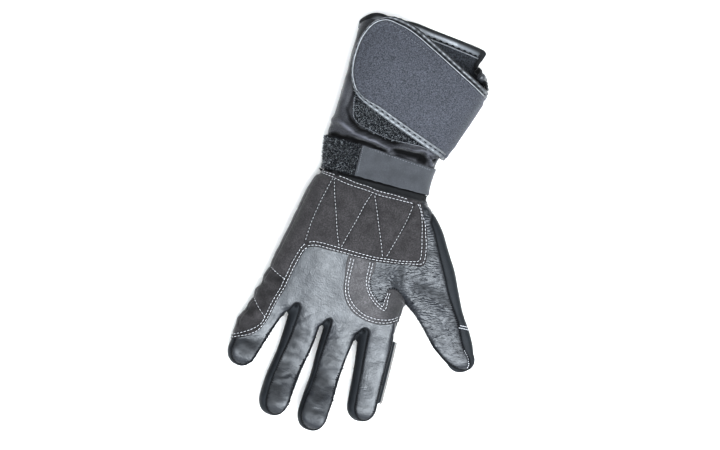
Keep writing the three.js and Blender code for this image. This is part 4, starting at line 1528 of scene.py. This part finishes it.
def overlay(edge, height, rows, sink):
    """A panel sewn on top of the hand's leather, puffed up between its rows of stitches."""
    skin = dressed_hand().copy()
    lean = bare_hand().relaxed(30, shares=(0.5,)).normals()
    for axis, column in zip("xyz", lean.T):
        skin.values["lean_" + axis] = column
    skin = skin.part(skin.middles(edge) > 0)
    coarse = skin.faces
    skin = skin.finer()
    lean = unit(np.stack([skin.values["lean_" + axis] for axis in "xyz"], 1))
    inward = skin.reach(skin.values[edge])
    sewn = np.min([beside(skin.points, drawn(row, 1.5)) for row in rows], axis=0)
    # Painted shade along the sunken stitch rows and round the edges, kept as the seam value.
    skin.values["seam"] = np.maximum(bell(sewn, 0.9), bell(inward, 0.8))
    lift = EDGE_RISE + (height - EDGE_RISE) * rolled(inward, 1.3) - sink * bell(sewn, 1.0)
    return skin, coarse, lean, sewn, inward, lift


@cache
def pad_skin():
    """The palm pad's outer face, and the faces it had before it was split finer."""
    height, quilt = mm(sizes().pad_height), mm(sizes().quilt_rise)
    rows = PAD_ROWS + QUILT_ROWS
    skin, coarse, lean, sewn, inward, lift = overlay("pad", height, rows, 0.75)
    inner = step_up(inward, 2.5, 7)
    lift += quilt * (1 - bell(sewn, 4.8)) * inner
    points = skin.points
    lift += inner * uneven(points, PAD_DENTS)
    lift += inner * folded(points, PAD_FOLDS, 1.5)
    # The pad is darker towards the fingers, in clouds.
    low = step_up(-points[:, 1], 24, 50) * (0.25 + 1.3 * rough(points, (12, 9, 30), 36))
    skin.values["tone"] = np.clip(low, 0, 1)
    return skin.raised(lift, lean), coarse


@cache
def patch_skin():
    """The crescent patch's outer face, and the faces it had before it was split finer."""
    height = mm(sizes().patch_height)
    skin, coarse, lean, _, inward, lift = overlay("patch", height, PATCH_ROWS, 0.5)
    points = skin.points
    under = 1 - 0.75 * step_up(points[:, 1], -30, -24.5)
    lift = lift * under + step_up(inward, 2, 5) * 0.3 * rough(points, (8, 8, 12), 34)
    skin.values["tone"] = 0.75 * step_up(points[:, 0], 8, 24)
    return skin.raised(lift, lean), coarse


# Pieces of the cuff

def mouth_value(points):
    """Positive where the cuff's wall is: its palm side stops short of the mouth."""
    back = inside(points, drawn(MOUTH, 2, True))
    front = inside(points, drawn(PALM_SIDE_EDGE, 2, True))
    share = step_up(points[:, 2], 15, 26)
    return back * (1 - share) + front * share


def cuff_relief(points):
    """Folds of the cuff where the strap gathers it, the groove at the wrist and soft dents."""
    y = points[:, 1]
    top = step_up(points[:, 2], 12, 22)
    lift = folded(points, CUFF_FOLDS, 1.0) * top * step_up(y, 58.5, 64)
    gather = bell(y - GATHER, 12)
    sides = np.abs(points[:, 0] + 16) / 45
    lift += uneven(points, CUFF_GATHERS) * gather * (0.9 + 0.5 * sides)
    lift -= 0.6 * bell(rough(points, (17, 5.5, 12), 44), 0.09) * gather * step_up(y, 58, 66)
    lift += uneven(points, CUFF_DENTS) * step_up(y, 60, 90)
    shallow = 0.15 + 0.85 * step_up(points[:, 2], 19, 27)
    lift -= shallow * (0.5 * step_up(-y, -41, -39) + 1.2 * bell(y - WRIST_GROOVE, 1.3))
    return lift


@cache
def cuff_skin():
    """The gathered sleeve's outer face, from its end inside the hand to past the mouth."""
    skin = cuff_surface().copy()
    lift = cuff_relief(skin.points)
    # Painted shade in the hollows of the folds and in the groove below the strap, and a painted
    # highlight on the folds' crests.
    groove = bell(skin.points[:, 1] - 38, 1.6)
    skin.values["seam"] = np.maximum(step_up(-lift, 0.3, 2.2), groove)
    skin.values["tone"] = step_up(lift, 1.3, 3.3) * step_up(skin.points[:, 2], 8, 20)
    floor_share = step_up(skin.points[:, 2], 0.4, 5)
    skin = skin.raised(lift * floor_share)
    skin.points[:, 2] = np.maximum(skin.points[:, 2], LOWEST)
    skin.values["mouth"] = mouth_value(skin.points)
    skin.values["hand_end"] = skin.points[:, 1] - CUFF_START
    return skin


def cuff_patch(outline, low, high, smooth=True, above=9.0):
    """A piece of tape on the cuff between two heights over it, by its outline from above."""
    skin = cuff_surface().copy()
    line = drawn(outline, 2, True) if smooth else np.array(outline, float)
    edge = inside(skin.points, line) + uneven(skin.points, TAPE_EDGE)
    skin.values["edge"] = np.minimum(edge, skin.points[:, 2] - above)
    skin = skin.inner_side("edge")
    inward = skin.reach(skin.values["edge"])
    skin.values["seam"] = bell(inward, 0.7)
    lift = high - (1 - rolled(inward, 0.8)) * 0.5 + uneven(skin.points, TAPE_DENTS)
    return skin.raised(lift), high - low


@cache
def flap_top():
    """The flap's outer face, a little crowned, with its foot on the thumb side."""
    skin = cuff_surface(FLAP_LIFT).copy()
    edge = inside(skin.points, drawn(FLAP, 2, True))
    skin.values["edge"] = np.minimum(edge, skin.points[:, 2] - FLAP_FOOT)
    skin = skin.inner_side("edge")
    points = skin.points
    inward = skin.reach(skin.values["edge"])
    lift = FLAP_CROWN * step_up(inward, 5, 22) + uneven(points, FLAP_DENTS)
    lift -= 0.35 * bell(inward - 7.0, 1.5)
    skin.values["seam"] = bell(inward - 5.8, 1.0)
    fold = FLAP_BEND * bell(points[:, 2] - 21, 7) * step_up(inward, 0, 4)
    return skin.raised(lift * step_up(inward, 2, 8) + fold)


def flap_rim():
    """The flap's free edge as a calm line, the directions outwards along the surface, and the
    width of the binding there, which narrows round the flap's nose."""
    skin = flap_top()
    line = rim_lines(skin, skin.points[:, 2] > FLAP_FOOT + 0.2)[0]
    line = calmed(evened(line, 1.0), 12)
    outline = drawn(FLAP, 2, True)
    path, across = framed(line, cuff_surface(FLAP_LIFT).tree(), lambda at: inside(at, outline))
    return path, across, BINDING_WIDTH - BINDING_NARROWS * step_up(-path[:, 0], 25, 46)


def framed(line, tree, measure):
    """A line settled on a surface, with its outward directions."""
    places, normals = settled(line, tree)
    across = unit(np.cross(unit(np.gradient(places, axis=0)), normals))
    trial = measure(places + across * 1.5) - measure(places - across * 1.5)
    return places, -across if trial.sum() > 0 else across


def binding_profile(width, rise, wall, valley):
    """Section of a leather binding: outer ridge, stitched valley, inner ridge, then underneath."""
    shape = (
        (-1.0, -0.1), (-0.97, 0.55), (-0.9, 0.9), (-0.8, 1.0), (-0.7, 0.86), (-0.62, 0.5),
        (-0.56, 0.1), (-0.5, 0.12), (-0.44, 0.6), (-0.34, 1.05), (-0.2, 1.25), (-0.06, 1.15),
        (0.06, 0.75), (0.14, 0.2),
    )
    top = [(side * width, up * rise if up > 0.3 else up * rise - valley * (side > -0.9))
           for side, up in shape]
    under = [(0.9, -wall * 0.4), (0.6, -wall * 0.85), (0.0, -wall - 0.35),
             (-width * 0.5, -wall - 0.3), (-width, -wall + 0.1)]
    return tuple(top + under)


# Pile of the loop tape

def pile(skin, density, height, dimming, seed):
    """Small loops of yarn standing all over a surface, each with a tone of its own."""
    rng = np.random.default_rng(seed)
    a, b, c = (skin.points[corner] for corner in skin.faces.T)
    area = np.linalg.norm(np.cross(b - a, c - a), axis=1) / 2
    count = int(area.sum() * density)
    chosen = rng.choice(len(area), count, p=area / area.sum())
    first, second = rng.random((2, count, 1))
    flip = first + second > 1
    first, second = np.where(flip, 1 - first, first), np.where(flip, 1 - second, second)
    foot = a[chosen] + first * (b - a)[chosen] + second * (c - a)[chosen]
    up = skin.normals()[skin.faces[chosen, 0]]
    lean = rng.normal(size=(count, 3)) * 0.35
    turn = rng.random(count) * 2 * math.pi
    side = unit(np.cross(up, np.stack([np.cos(turn), np.sin(turn), 0 * turn], 1)))
    tall = height * (0.6 + 0.8 * rng.random(count))
    wide = 0.42 + 0.38 * rng.random(count)
    share = np.linspace(0, math.pi, 6)
    centre = (
        foot[:, None]
        + side[:, None] * (np.cos(share)[None, :, None] * wide[:, None, None] * 0.8)
        + (up + lean)[:, None] * (np.sin(share)[None, :, None] * tall[:, None, None])
        - up[:, None] * 0.15
    )
    way = unit(np.gradient(centre, axis=1))
    over = unit(np.cross(way, side[:, None]))
    thick = YARN_RADIUS * np.array([0.1, 1, 1, 1, 1, 0.1])
    rings = tubes(centre, np.cross(over, way), over, thick, 3)
    one = grid(rings[0])
    per = len(one.points)
    faces = (one.faces[None] + np.arange(count)[:, None, None] * per).reshape(-1, 3)
    tone = rng.random(count) ** dimming
    return Skin(rings.reshape(-1, 3), faces, {"tone": np.repeat(tone, per)})


# Settings

def length(name, description, millimetres):
    return FloatProperty(name=name, description=description, default=millimetres * METRES,
                         min=0.0, precision=5, unit="LENGTH")


def colour(name, description, value):
    return FloatVectorProperty(name=name, description=description, default=value, size=3,
                               min=0.0, max=1.0, subtype="COLOR")


class GloveSizes(bpy.types.PropertyGroup):
    skin_grain: length("Skin grain", "Edge of the triangles of the hand's surface", 1.0)
    leather: length("Leather", "Thickness of the leather panels", 1.5)
    seam_width: length("Seam width", "Half width of the valley along a seam", 0.9)
    seam_depth: length("Seam depth", "Depth of the valley along a seam", 0.9)
    pad_height: length("Pad height", "How far the palm pad stands over the leather", 1.5)
    quilt_rise: length("Quilt rise", "How far the pad puffs up between its stitches", 1.0)
    patch_height: length("Patch height", "How far the crescent patch stands over the leather", 1.2)
    stitch: length("Stitch", "Length of one light stitch", 2.1)
    pitch: length("Stitch pitch", "From one light stitch to the next", 3.0)
    thread: length("Thread", "Radius of the light thread", 0.3)
    fine_thread: length("Fine thread", "Radius of the dark thread", 0.3)
    binding_rise: length("Binding rise", "How far a binding stands over what it edges", 1.3)
    pile_height: length("Pile height", "Height of the loop tape's loops", 1.0)


class GloveColours(bpy.types.PropertyGroup):
    palm_leather: colour("Palm leather", "Smooth leather of palm and fingers", (0.024, 0.026, 0.031))
    thumb_leather: colour("Thumb leather", "Grained leather of the thumb", (0.021, 0.023, 0.028))
    suede: colour("Suede", "Palm pad", (0.040, 0.037, 0.038))
    patch_suede: colour("Patch suede", "Crescent patch", (0.088, 0.084, 0.086))
    softshell: colour("Softshell", "Side strips and back", (0.014, 0.016, 0.019))
    flap_textile: colour("Flap textile", "Woven face of the flap", (0.057, 0.059, 0.069))
    sleeve_textile: colour("Sleeve textile", "Gathered sleeve of the cuff", (0.049, 0.049, 0.054))
    # A painted highlight, laid on the crests of the sleeve's folds.
    sleeve_crest_highlight: colour("Sleeve crests", "Satin crests of the folds", (0.14, 0.14, 0.158))
    lining: colour("Lining", "Inside of the cuff", (0.05, 0.053, 0.06))
    strap: colour("Strap", "Wrist strap", (0.066, 0.068, 0.074))
    loop_tape: colour("Loop tape", "Ground and dark loops", (0.008, 0.009, 0.011))
    loop_light: colour("Loop tape light", "Lightest loops", (0.42, 0.44, 0.46))
    binding: colour("Binding", "Leather bindings", (0.040, 0.042, 0.048))
    # A painted highlight, laid where light falls on the bindings.
    binding_highlight: colour("Light binding", "Where the bindings are rubbed", (0.17, 0.177, 0.187))
    piping: colour("Piping", "Thin cord beside the bindings", (0.4, 0.41, 0.43))
    light_thread: colour("Light thread", "Decorative stitches", (0.62, 0.62, 0.64))
    grey_thread: colour("Grey thread", "Stitches of strap and flap", (0.17, 0.175, 0.19))
    dark_thread: colour("Dark thread", "Seam stitches", (0.010, 0.010, 0.012))
    rubber: colour("Rubber", "Flange of the wiping blade", (0.012, 0.014, 0.017))
    blade: colour("Blade", "Wiping edge", (0.2, 0.19, 0.18))
    floor: colour("Floor", "Floor of the stage", (0.95, 0.92, 0.89))


# Operators

class GLOVE_OT_leather(bpy.types.Operator):
    """Builds the smooth leather of the palm and fingers, and the thumb's grained leather"""

    bl_idname = "glove.leather"
    bl_label = "Leather faces"

    def execute(self, context):
        nodes = ("palm_leather", "pinky_face", "ring_face", "middle_face", "index_face")
        panel_piece("palm_leather", smooth_leather(), nodes)
        panel = hand_panel("thumb_leather")
        wall = coarse_grain(panel).thickened(mm(sizes().leather), panel.faces)
        placed("thumb_leather", wall, [grained_leather()], ("thumb_leather",))
        return {"FINISHED"}


class GLOVE_OT_side_strips(bpy.types.Operator):
    """Builds the strips between the fingers and along the hand's sides, and its plain back"""

    bl_idname = "glove.side_strips"
    bl_label = "Side strips and back"

    def execute(self, context):
        for name in (
            "fourchette_ring_pinky", "fourchette_middle_ring", "fourchette_index_middle",
            "pinky_side_strip", "index_thumb_side_strip", "thumb_side_panel", "back_panel",
        ):
            panel_piece(name, softshell(), (name,))
        return {"FINISHED"}


class GLOVE_OT_suede(bpy.types.Operator):
    """Builds the palm's quilted suede pad, and the crescent between the thumb and the palm"""

    bl_idname = "glove.suede"
    bl_label = "Suede pad and patch"

    def execute(self, context):
        skin, coarse = pad_skin()
        wall = skin.thickened(mm(sizes().pad_height), coarse)
        piece = placed("palm_pad", wall, [suede("suede")], ("palm_pad",))
        skin, coarse = patch_skin()
        wall = skin.thickened(mm(sizes().patch_height), coarse)
        placed("crotch_patch", wall, [suede("patch_suede")], ("crotch_patch",))
        return {"FINISHED"}


class GLOVE_OT_cuff(bpy.types.Operator):
    """Builds the gathered sleeve of the cuff with its lining"""

    bl_idname = "glove.cuff"
    bl_label = "Cuff sleeve"

    def execute(self, context):
        skin = cuff_skin().inner_side("mouth").inner_side("hand_end")
        wall = skin.thickened(CUFF_WALL)
        placed("cuff_sleeve", wall, [sleeve_textile(), lining()],
               ("cuff_back", "cuff_palm_side"), inner=1)
        return {"FINISHED"}


class GLOVE_OT_gusset(bpy.types.Operator):
    """Builds the bunched fabric at the foot of the mouth's open side"""

    bl_idname = "glove.gusset"
    bl_label = "Gusset folds"

    def execute(self, context):
        folds = together([bulge(*row) for row in GUSSET_FOLDS])
        # Painted shade on the shadowed folds and on their lower parts, deep in the opening.
        deep = 0.9 * step_up(-folds.points[:, 2], -27, -21)
        folds.values["seam"] = np.maximum(folds.values["dull"], deep)
        folds.points += 0.5 * rough(folds.points, 5, 71)[:, None]
        folds.values["tone"] = np.zeros(len(folds.points))
        smooth = folds.part(folds.middles("dull") < 0.3)
        placed("gusset_bulge", smooth, [binding_leather()])
        rest = folds.part(folds.middles("dull") >= 0.3)
        placed("gusset_folds", rest, [sleeve_textile()])
        return {"FINISHED"}


def bulge(start, end, radius, shadow):
    """A rounded bulge of fabric between two places, thin at both ends."""
    share = np.linspace(0, 1, 14)
    line = np.outer(1 - share, start) + np.outer(share, end)
    line[:, 2] = start[2] + (end[2] - start[2]) * share ** 2.5
    way = unit(np.gradient(line, axis=0))
    side = unit(np.cross(way, (0, 0, 1.0)))
    thick = radius * np.sqrt(np.clip(1 - (2 * share - 1) ** 4, 0.02, 1))
    fold = outward(capped(tubes(line, side, np.cross(side, way), thick, 16)))
    fold.values["dull"] = np.full(len(fold.points), shadow)
    return fold


class GLOVE_OT_flap(bpy.types.Operator):
    """Builds the large rounded flap that closes the cuff"""

    bl_idname = "glove.flap"
    bl_label = "Closure flap"

    def execute(self, context):
        wall = flap_top().thickened(FLAP_WALL)
        piece = placed("closure_flap", wall, [flap_textile()], ("closure_flap",))
        return {"FINISHED"}


class GLOVE_OT_bindings(bpy.types.Operator):
    """Builds the leather bindings round the flap and the mouth, with their piping"""

    bl_idname = "glove.bindings"
    bl_label = "Bindings"

    def execute(self, context):
        self.flap_binding()
        self.mouth_binding()
        return {"FINISHED"}

    def flap_binding(self):
        path, across, width = flap_rim()
        tree = cuff_surface(FLAP_LIFT).tree()
        rise = mm(sizes().binding_rise)
        profile = binding_profile(PROFILE_WIDTH, rise, FLAP_WALL, 0.1)
        beat = np.cos(2 * math.pi * lengths(path) / BINDING_PITCH)
        pucker = 1 - 0.4 * (0.5 + 0.5 * beat)
        calm = (0.25 + 0.75 * step_up(path[:, 2], 10, 30)) * pucker
        rows = [
            (side * width / PROFILE_WIDTH * np.where(side > 0, calm, 1), up * np.where(up > 0, calm, 1))
            for side, up in profile
        ]
        band = swept(path, across, tree, rows)
        sides = np.array([side for side, up in profile])
        # Painted shade in the stitched valley, along the inner edge, on the upper band's outer roll and
        # in the gaps of its ridge; a painted highlight on the lower band, which faces the light, and in
        # jagged pieces along the upper band's ridge.
        high = step_up(path[:, 2], 24, 34)
        lower = step_up(path[:, 0] * 0.25 + 116 - path[:, 1], -8, 4)
        valley = np.outer(1 - 0.95 * lower * high, bell(sides + 2.65, 0.6))
        inner = np.outer(np.ones(len(path)), bell(sides + 5.1, 0.5))
        outer = np.outer(1 - lower, 0.8 * step_up(sides, -0.9, -0.2))
        jag = np.clip(0.75 + 0.35 * beat + 0.7 * rough(path, 3, 57), 0, 1)
        crest_highlight = np.outer((1 - lower) * high * jag, bell(sides + 1.3, 0.55))
        gap = np.outer(0.9 * (1 - lower) * (1 - jag * high), bell(sides + 1.4, 0.8))
        dark = np.maximum.reduce([valley, inner, outer, gap])
        light = np.maximum(np.repeat((lower * high)[:, None], len(sides), 1), crest_highlight)
        self.marked(band, dark, light)
        placed("flap_binding", band, [binding_leather()], ("flap_binding",))
        upper = (path[:, 1] > 103 + 0.25 * (path[:, 0] + 52)) & (path[:, 2] > PIPING_FROM)
        rows = [(side[upper], up) for side, up in circle(0.9 - width, rise, 0.34)]
        cord = swept(path[upper], across[upper], tree, rows)
        placed("flap_piping", cord, [piping()])

    def mouth_binding(self):
        path, across = mouth_rim()
        tree = cuff_surface(-CUFF_WALL).tree()
        end = step_up(path[:, 0], 33, 38) * step_up(-path[:, 1], -162, -158)
        rows = [(side * (1 - 0.6 * end), up * (1 - 0.4 * end)) for side, up in MOUTH_ROLL]
        band = swept(path, across, tree, rows, flip=-1.0, floor=0.02)
        sides = np.array([side for side, up in MOUTH_ROLL])
        # A painted highlight along the roll's crown; painted shade at its edges and where it runs down
        # the open side.
        painted_highlight = np.outer(1 - end, bell(sides + 3.9, 1.9))
        edges = np.maximum(bell(sides + 6.2, 0.4), step_up(sides, -2.4, -0.4))
        self.marked(band, np.maximum(end[:, None], edges), painted_highlight)
        # A stronger painted highlight for the mouth's roll.
        placed("mouth_binding", band, [binding_leather("mouth binding leather", 1.9)],
               ("mouth_binding",))
        kept = end < 0.5
        cord = swept(path[kept], across[kept], tree, circle(-7.1, 0.5, 0.5), flip=-1.0, floor=0.02)
        placed("mouth_piping", cord, [piping()])

    def marked(self, band, seam, tone):
        """Keeps a band's painted shade as its seam value and its painted highlight as its tone, at its
        rings, and none at the hubs of its two ends.
        """
        band.values["seam"] = np.append(seam.ravel(), [0, 0])
        band.values["tone"] = np.append(tone.ravel(), [0, 0])


def circle(side, up, radius, count=8):
    """Profile of a round cord, placed across and above a path."""
    turns = 2 * math.pi * np.arange(count) / count
    return [(side + radius * math.cos(t), up + radius * math.sin(t)) for t in turns]


@cache
def mouth_rim():
    """The edge of the mouth round the back wall, as a calm line on the lining's side."""
    skin = cuff_surface(-CUFF_WALL).copy()
    skin.values["mouth"] = mouth_value(skin.points)
    skin = skin.inner_side("mouth")
    chosen = (skin.points[:, 2] < 21) & (skin.points[:, 1] > 143)
    line = calmed(evened(rim_lines(skin, chosen)[0], 1.0), 10)
    return framed(line, cuff_surface(-CUFF_WALL).tree(), mouth_value)


class GLOVE_OT_tapes(bpy.types.Operator):
    """Builds the wrist strap and the two pieces of loop tape with their pile"""

    bl_idname = "glove.tapes"
    bl_label = "Strap and loop tape"

    def execute(self, context):
        skin, thick = cuff_patch(WRIST_STRAP, TAPE_FOOT, STRAP_TOP, smooth=False)
        placed("wrist_strap", skin.thickened(thick), [strap_suede()], ("wrist_strap",))
        for name, outline, smooth, dimming, seed in (
            ("wrist_loop_tape", WRIST_LOOP, False, 3.4, 61),
            ("cuff_loop_patch", CUFF_LOOP, True, 2.3, 62),
        ):
            skin, thick = cuff_patch(outline, TAPE_FOOT, LOOP_TOP, smooth)
            placed(name, skin.thickened(thick), [loop_ground()], (name,))
            shown = skin.part(skin.middles("edge") > 0.5)
            if name == "cuff_loop_patch":
                over = inside(shown.points[shown.faces].mean(1), drawn(FLAP, 2, True))
                shown = shown.part(over < 3)
            loops = pile(shown, PILE_DENSITY, mm(sizes().pile_height), dimming, seed)
            placed(name + "_pile", loops, [loop_yarn()])
        tree = cuff_surface(BORDER_TOP).tree()
        places, normals = dropped(drawn(LOOP_BORDER, 1.0), tree)
        across = unit(np.cross(np.gradient(places, axis=0), normals))
        border = swept(places, across, tree, circle(0, 0.1, 0.32))
        placed("cuff_loop_border", border, [thread("grey_thread")])
        return {"FINISHED"}


class GLOVE_OT_wiper(bpy.types.Operator):
    """Builds the rubber blade on the side of the index finger"""

    bl_idname = "glove.wiper"
    bl_label = "Wiping blade"

    def execute(self, context):
        first, last = BLADE_ENDS
        along = np.linspace(first, last, 60)
        bowed = BLADE_BOW * np.sin((along - first) / (last - first) * math.pi)
        end = np.minimum(along - last + 0.8, first + 3.5 - along)
        reach = np.clip(np.sqrt(np.clip(end, 0, 3) / 3), 0.25, 1)
        for name, start, stop, half, material in (
            ("wiper_flange", 28.2, 33.0, (0.9, 0.7), flange_rubber()),
            ("wiper_blade", 32.6, 34.2, (0.45, 0.2), blade_rubber()),
        ):
            far = start + (stop - start) * reach + bowed
            rings = [blade_ring(start, out, y, *half) for out, y in zip(far, along)]
            body = outward(capped(np.array(rings)))
            nodes = ("visor_wiper",) if name == "wiper_flange" else ()
            placed(name, body, [material], nodes)
        return {"FINISHED"}


def blade_ring(start, far, y, thick, edge, height=BLADE_HEIGHT):
    """Section of the blade across the finger's side: thick at its root and rounded outside."""
    across = ((start, -thick), (far - edge, -edge), (far, 0.0), (far - edge, edge), (start, thick))
    return [(x, y, height + z) for x, z in across]


class GLOVE_OT_stitching(bpy.types.Operator):
    """Sews the light rows of the palm and the dark stitches of seams and bindings"""

    bl_idname = "glove.stitching"
    bl_label = "Stitching"

    def execute(self, context):
        self.light()
        self.dark()
        return {"FINISHED"}

    def light(self):
        made = sizes()
        length, pitch, radius = mm(made.stitch), mm(made.pitch), mm(made.thread)
        stitches = []
        for skin, rows in (
            (pad_skin()[0], PAD_ROWS + QUILT_ROWS), (patch_skin()[0], PATCH_ROWS),
        ):
            tree = skin.tree()
            for row in rows:
                thin = 0.85 if row in QUILT_ROWS else 1.0
                line = dropped(drawn(row, 0.6), tree)
                stitches += stitched(*line, thin * length, pitch, thin * radius, lift=0.3)
        tree = dressed_hand().tree()
        for bar in THUMB_BARS:
            stitches += stitched(*dropped(drawn(bar, 0.4), tree), 1.7, 1.9, 0.36, lift=0.35)
        line = dropped(drawn(THUMB_TIP_ROW, 0.5), tree)
        stitches += stitched(*line, 1.0, 1.9, 0.42, lift=0.5)
        placed("light_stitching", together(stitches), [thread("light_thread")])
        stitches = []
        for row, height, length, pitch in (
            (STRAP_ROWS[0], STRAP_TOP, 0.8, 1.6), (STRAP_ROWS[1], STRAP_TOP, 1.2, 2.4),
            (FLAP_MARKS, FLAP_LIFT + 0.6, 1.4, 2.9),
        ):
            line = dropped(drawn(row, 0.6), cuff_surface(height).tree())
            stitches += stitched(*line, length, pitch, 0.3, lift=0.3)
        placed("grey_stitching", together(stitches), [thread("grey_thread")])

    def dark(self):
        radius = mm(sizes().fine_thread)
        path, across, width = flap_rim()
        tree = cuff_surface(FLAP_LIFT).tree()
        line = settled(path - across * (0.52 * width)[:, None], tree)
        stitches = stitched(*line, 2.4, BINDING_PITCH, 1.7 * radius, lift=0.4)
        path, across = mouth_rim()
        kept = (path[:, 1] > 161) | (path[:, 0] < 30)
        path, across = path[kept], across[kept]
        places, normals = settled(path - across * 5.4, cuff_surface(-CUFF_WALL).tree())
        places = places - normals * 1.6
        stitches += stitched(places, -normals, 2.6, BINDING_PITCH, 1.9 * radius, lift=0.7)
        stitches += self.seam_beads(radius)
        material = thread("dark_thread", gloss=0.08)
        placed("dark_stitching", together(stitches), [material])

    def seam_beads(self, radius):
        """Stitches that sit along the edge of each finger's leather face."""
        beads = []
        tree = dressed_hand().tree()
        for name, start in (("palm_leather", -84), ("thumb_leather", -40)):
            panel = hand_panel(name)
            for line in rim_lines(panel, panel.points[:, 1] < start):
                if len(line) >= 20:
                    beads += overcast(line, tree, 1.7, 1.9, 1.3 * radius)
        return beads


class GLOVE_OT_stage(bpy.types.Operator):
    """Lays the pale floor, hangs the studio lights and places the camera"""

    bl_idname = "glove.stage"
    bl_label = "Stage"

    def execute(self, context):
        scene = context.scene
        floor = bpy.data.meshes.new("floor")
        far = FLOOR_REACH
        corners = [(-far, -far, 0), (far, -far, 0), (far, far, 0), (-far, far, 0)]
        floor.from_pydata(corners, [], [(0, 1, 2, 3)])
        floor.materials.append(floor_paint())
        piece = bpy.data.objects.new("floor", floor)
        scene.collection.objects.link(piece)
        world = bpy.data.worlds.new("studio")
        world.use_nodes = True
        sky = world.node_tree.nodes["Background"].inputs
        sky["Color"].default_value = (*LAMP_COLOUR, 1)
        sky["Strength"].default_value = SKY_STRENGTH
        scene.world = world
        for number, (size, radiance) in enumerate(LAMPS):
            place = Vector(LAMP_WAY).normalized() * (LAMP_DISTANCE + 0.05 * number)
            self.light("overhead %d" % (number + 1), place, size, radiance)
        self.camera(scene)
        scene.view_settings.view_transform = "Standard"
        scene.view_settings.exposure = EXPOSURE
        scene.view_settings.gamma = GAMMA
        return {"FINISHED"}

    def light(self, name, place, size, radiance):
        """A round soft light that faces the glove."""
        lamp = bpy.data.lights.new(name, "AREA")
        lamp.shape = "DISK"
        lamp.color = LAMP_COLOUR
        lamp.size = size
        lamp.energy = radiance * math.pi * math.pi * (size / 2) ** 2
        piece = bpy.data.objects.new(name, lamp)
        piece.location = place
        piece.rotation_euler = (-place).to_track_quat("-Z", "Y").to_euler()
        bpy.context.scene.collection.objects.link(piece)

    def camera(self, scene):
        """Straight above, turned and framed as the photograph is."""
        lens = bpy.data.cameras.new("camera")
        lens.lens = lens.sensor_width * (CAMERA_PLACE[2] - SHARP_HEIGHT) / SHOWN_WIDTH
        lens.clip_start, lens.clip_end = 0.05, 50.0
        piece = bpy.data.objects.new("camera", lens)
        piece.location = CAMERA_PLACE
        piece.rotation_euler = (0, 0, math.radians(CAMERA_TURN))
        scene.collection.objects.link(piece)
        scene.camera = piece


class VIEW3D_PT_glove(bpy.types.Panel):
    """The glove's sizes, colours and pieces"""

    bl_label = "Glove"
    bl_idname = "VIEW3D_PT_glove"
    bl_space_type = "VIEW_3D"
    bl_region_type = "UI"
    bl_category = "Glove"

    def draw(self, context):
        for operator in OPERATORS:
            self.layout.operator(operator.bl_idname)
        for group in (context.scene.glove_sizes, context.scene.glove_colours):
            box = self.layout.box()
            for name in group.__annotations__:
                box.prop(group, name)


OPERATORS = (
    GLOVE_OT_leather, GLOVE_OT_side_strips, GLOVE_OT_suede, GLOVE_OT_cuff, GLOVE_OT_gusset,
    GLOVE_OT_flap, GLOVE_OT_bindings, GLOVE_OT_tapes, GLOVE_OT_wiper, GLOVE_OT_stitching,
    GLOVE_OT_stage,
)
CLASSES = (GloveSizes, GloveColours, *OPERATORS, VIEW3D_PT_glove)


def register():
    for each in CLASSES:
        bpy.utils.register_class(each)
    bpy.types.Scene.glove_sizes = PointerProperty(type=GloveSizes)
    bpy.types.Scene.glove_colours = PointerProperty(type=GloveColours)


def unregister():
    del bpy.types.Scene.glove_colours
    del bpy.types.Scene.glove_sizes
    for each in reversed(CLASSES):
        bpy.utils.unregister_class(each)


def main():
    register()
    bpy.ops.glove.stage()
    bpy.ops.glove.leather()
    bpy.ops.glove.side_strips()
    bpy.ops.glove.suede()
    bpy.ops.glove.cuff()
    bpy.ops.glove.gusset()
    bpy.ops.glove.flap()
    bpy.ops.glove.bindings()
    bpy.ops.glove.tapes()
    bpy.ops.glove.wiper()
    bpy.ops.glove.stitching()
    bpy.context.view_layer.update()


if __name__ == "__main__":
    main()
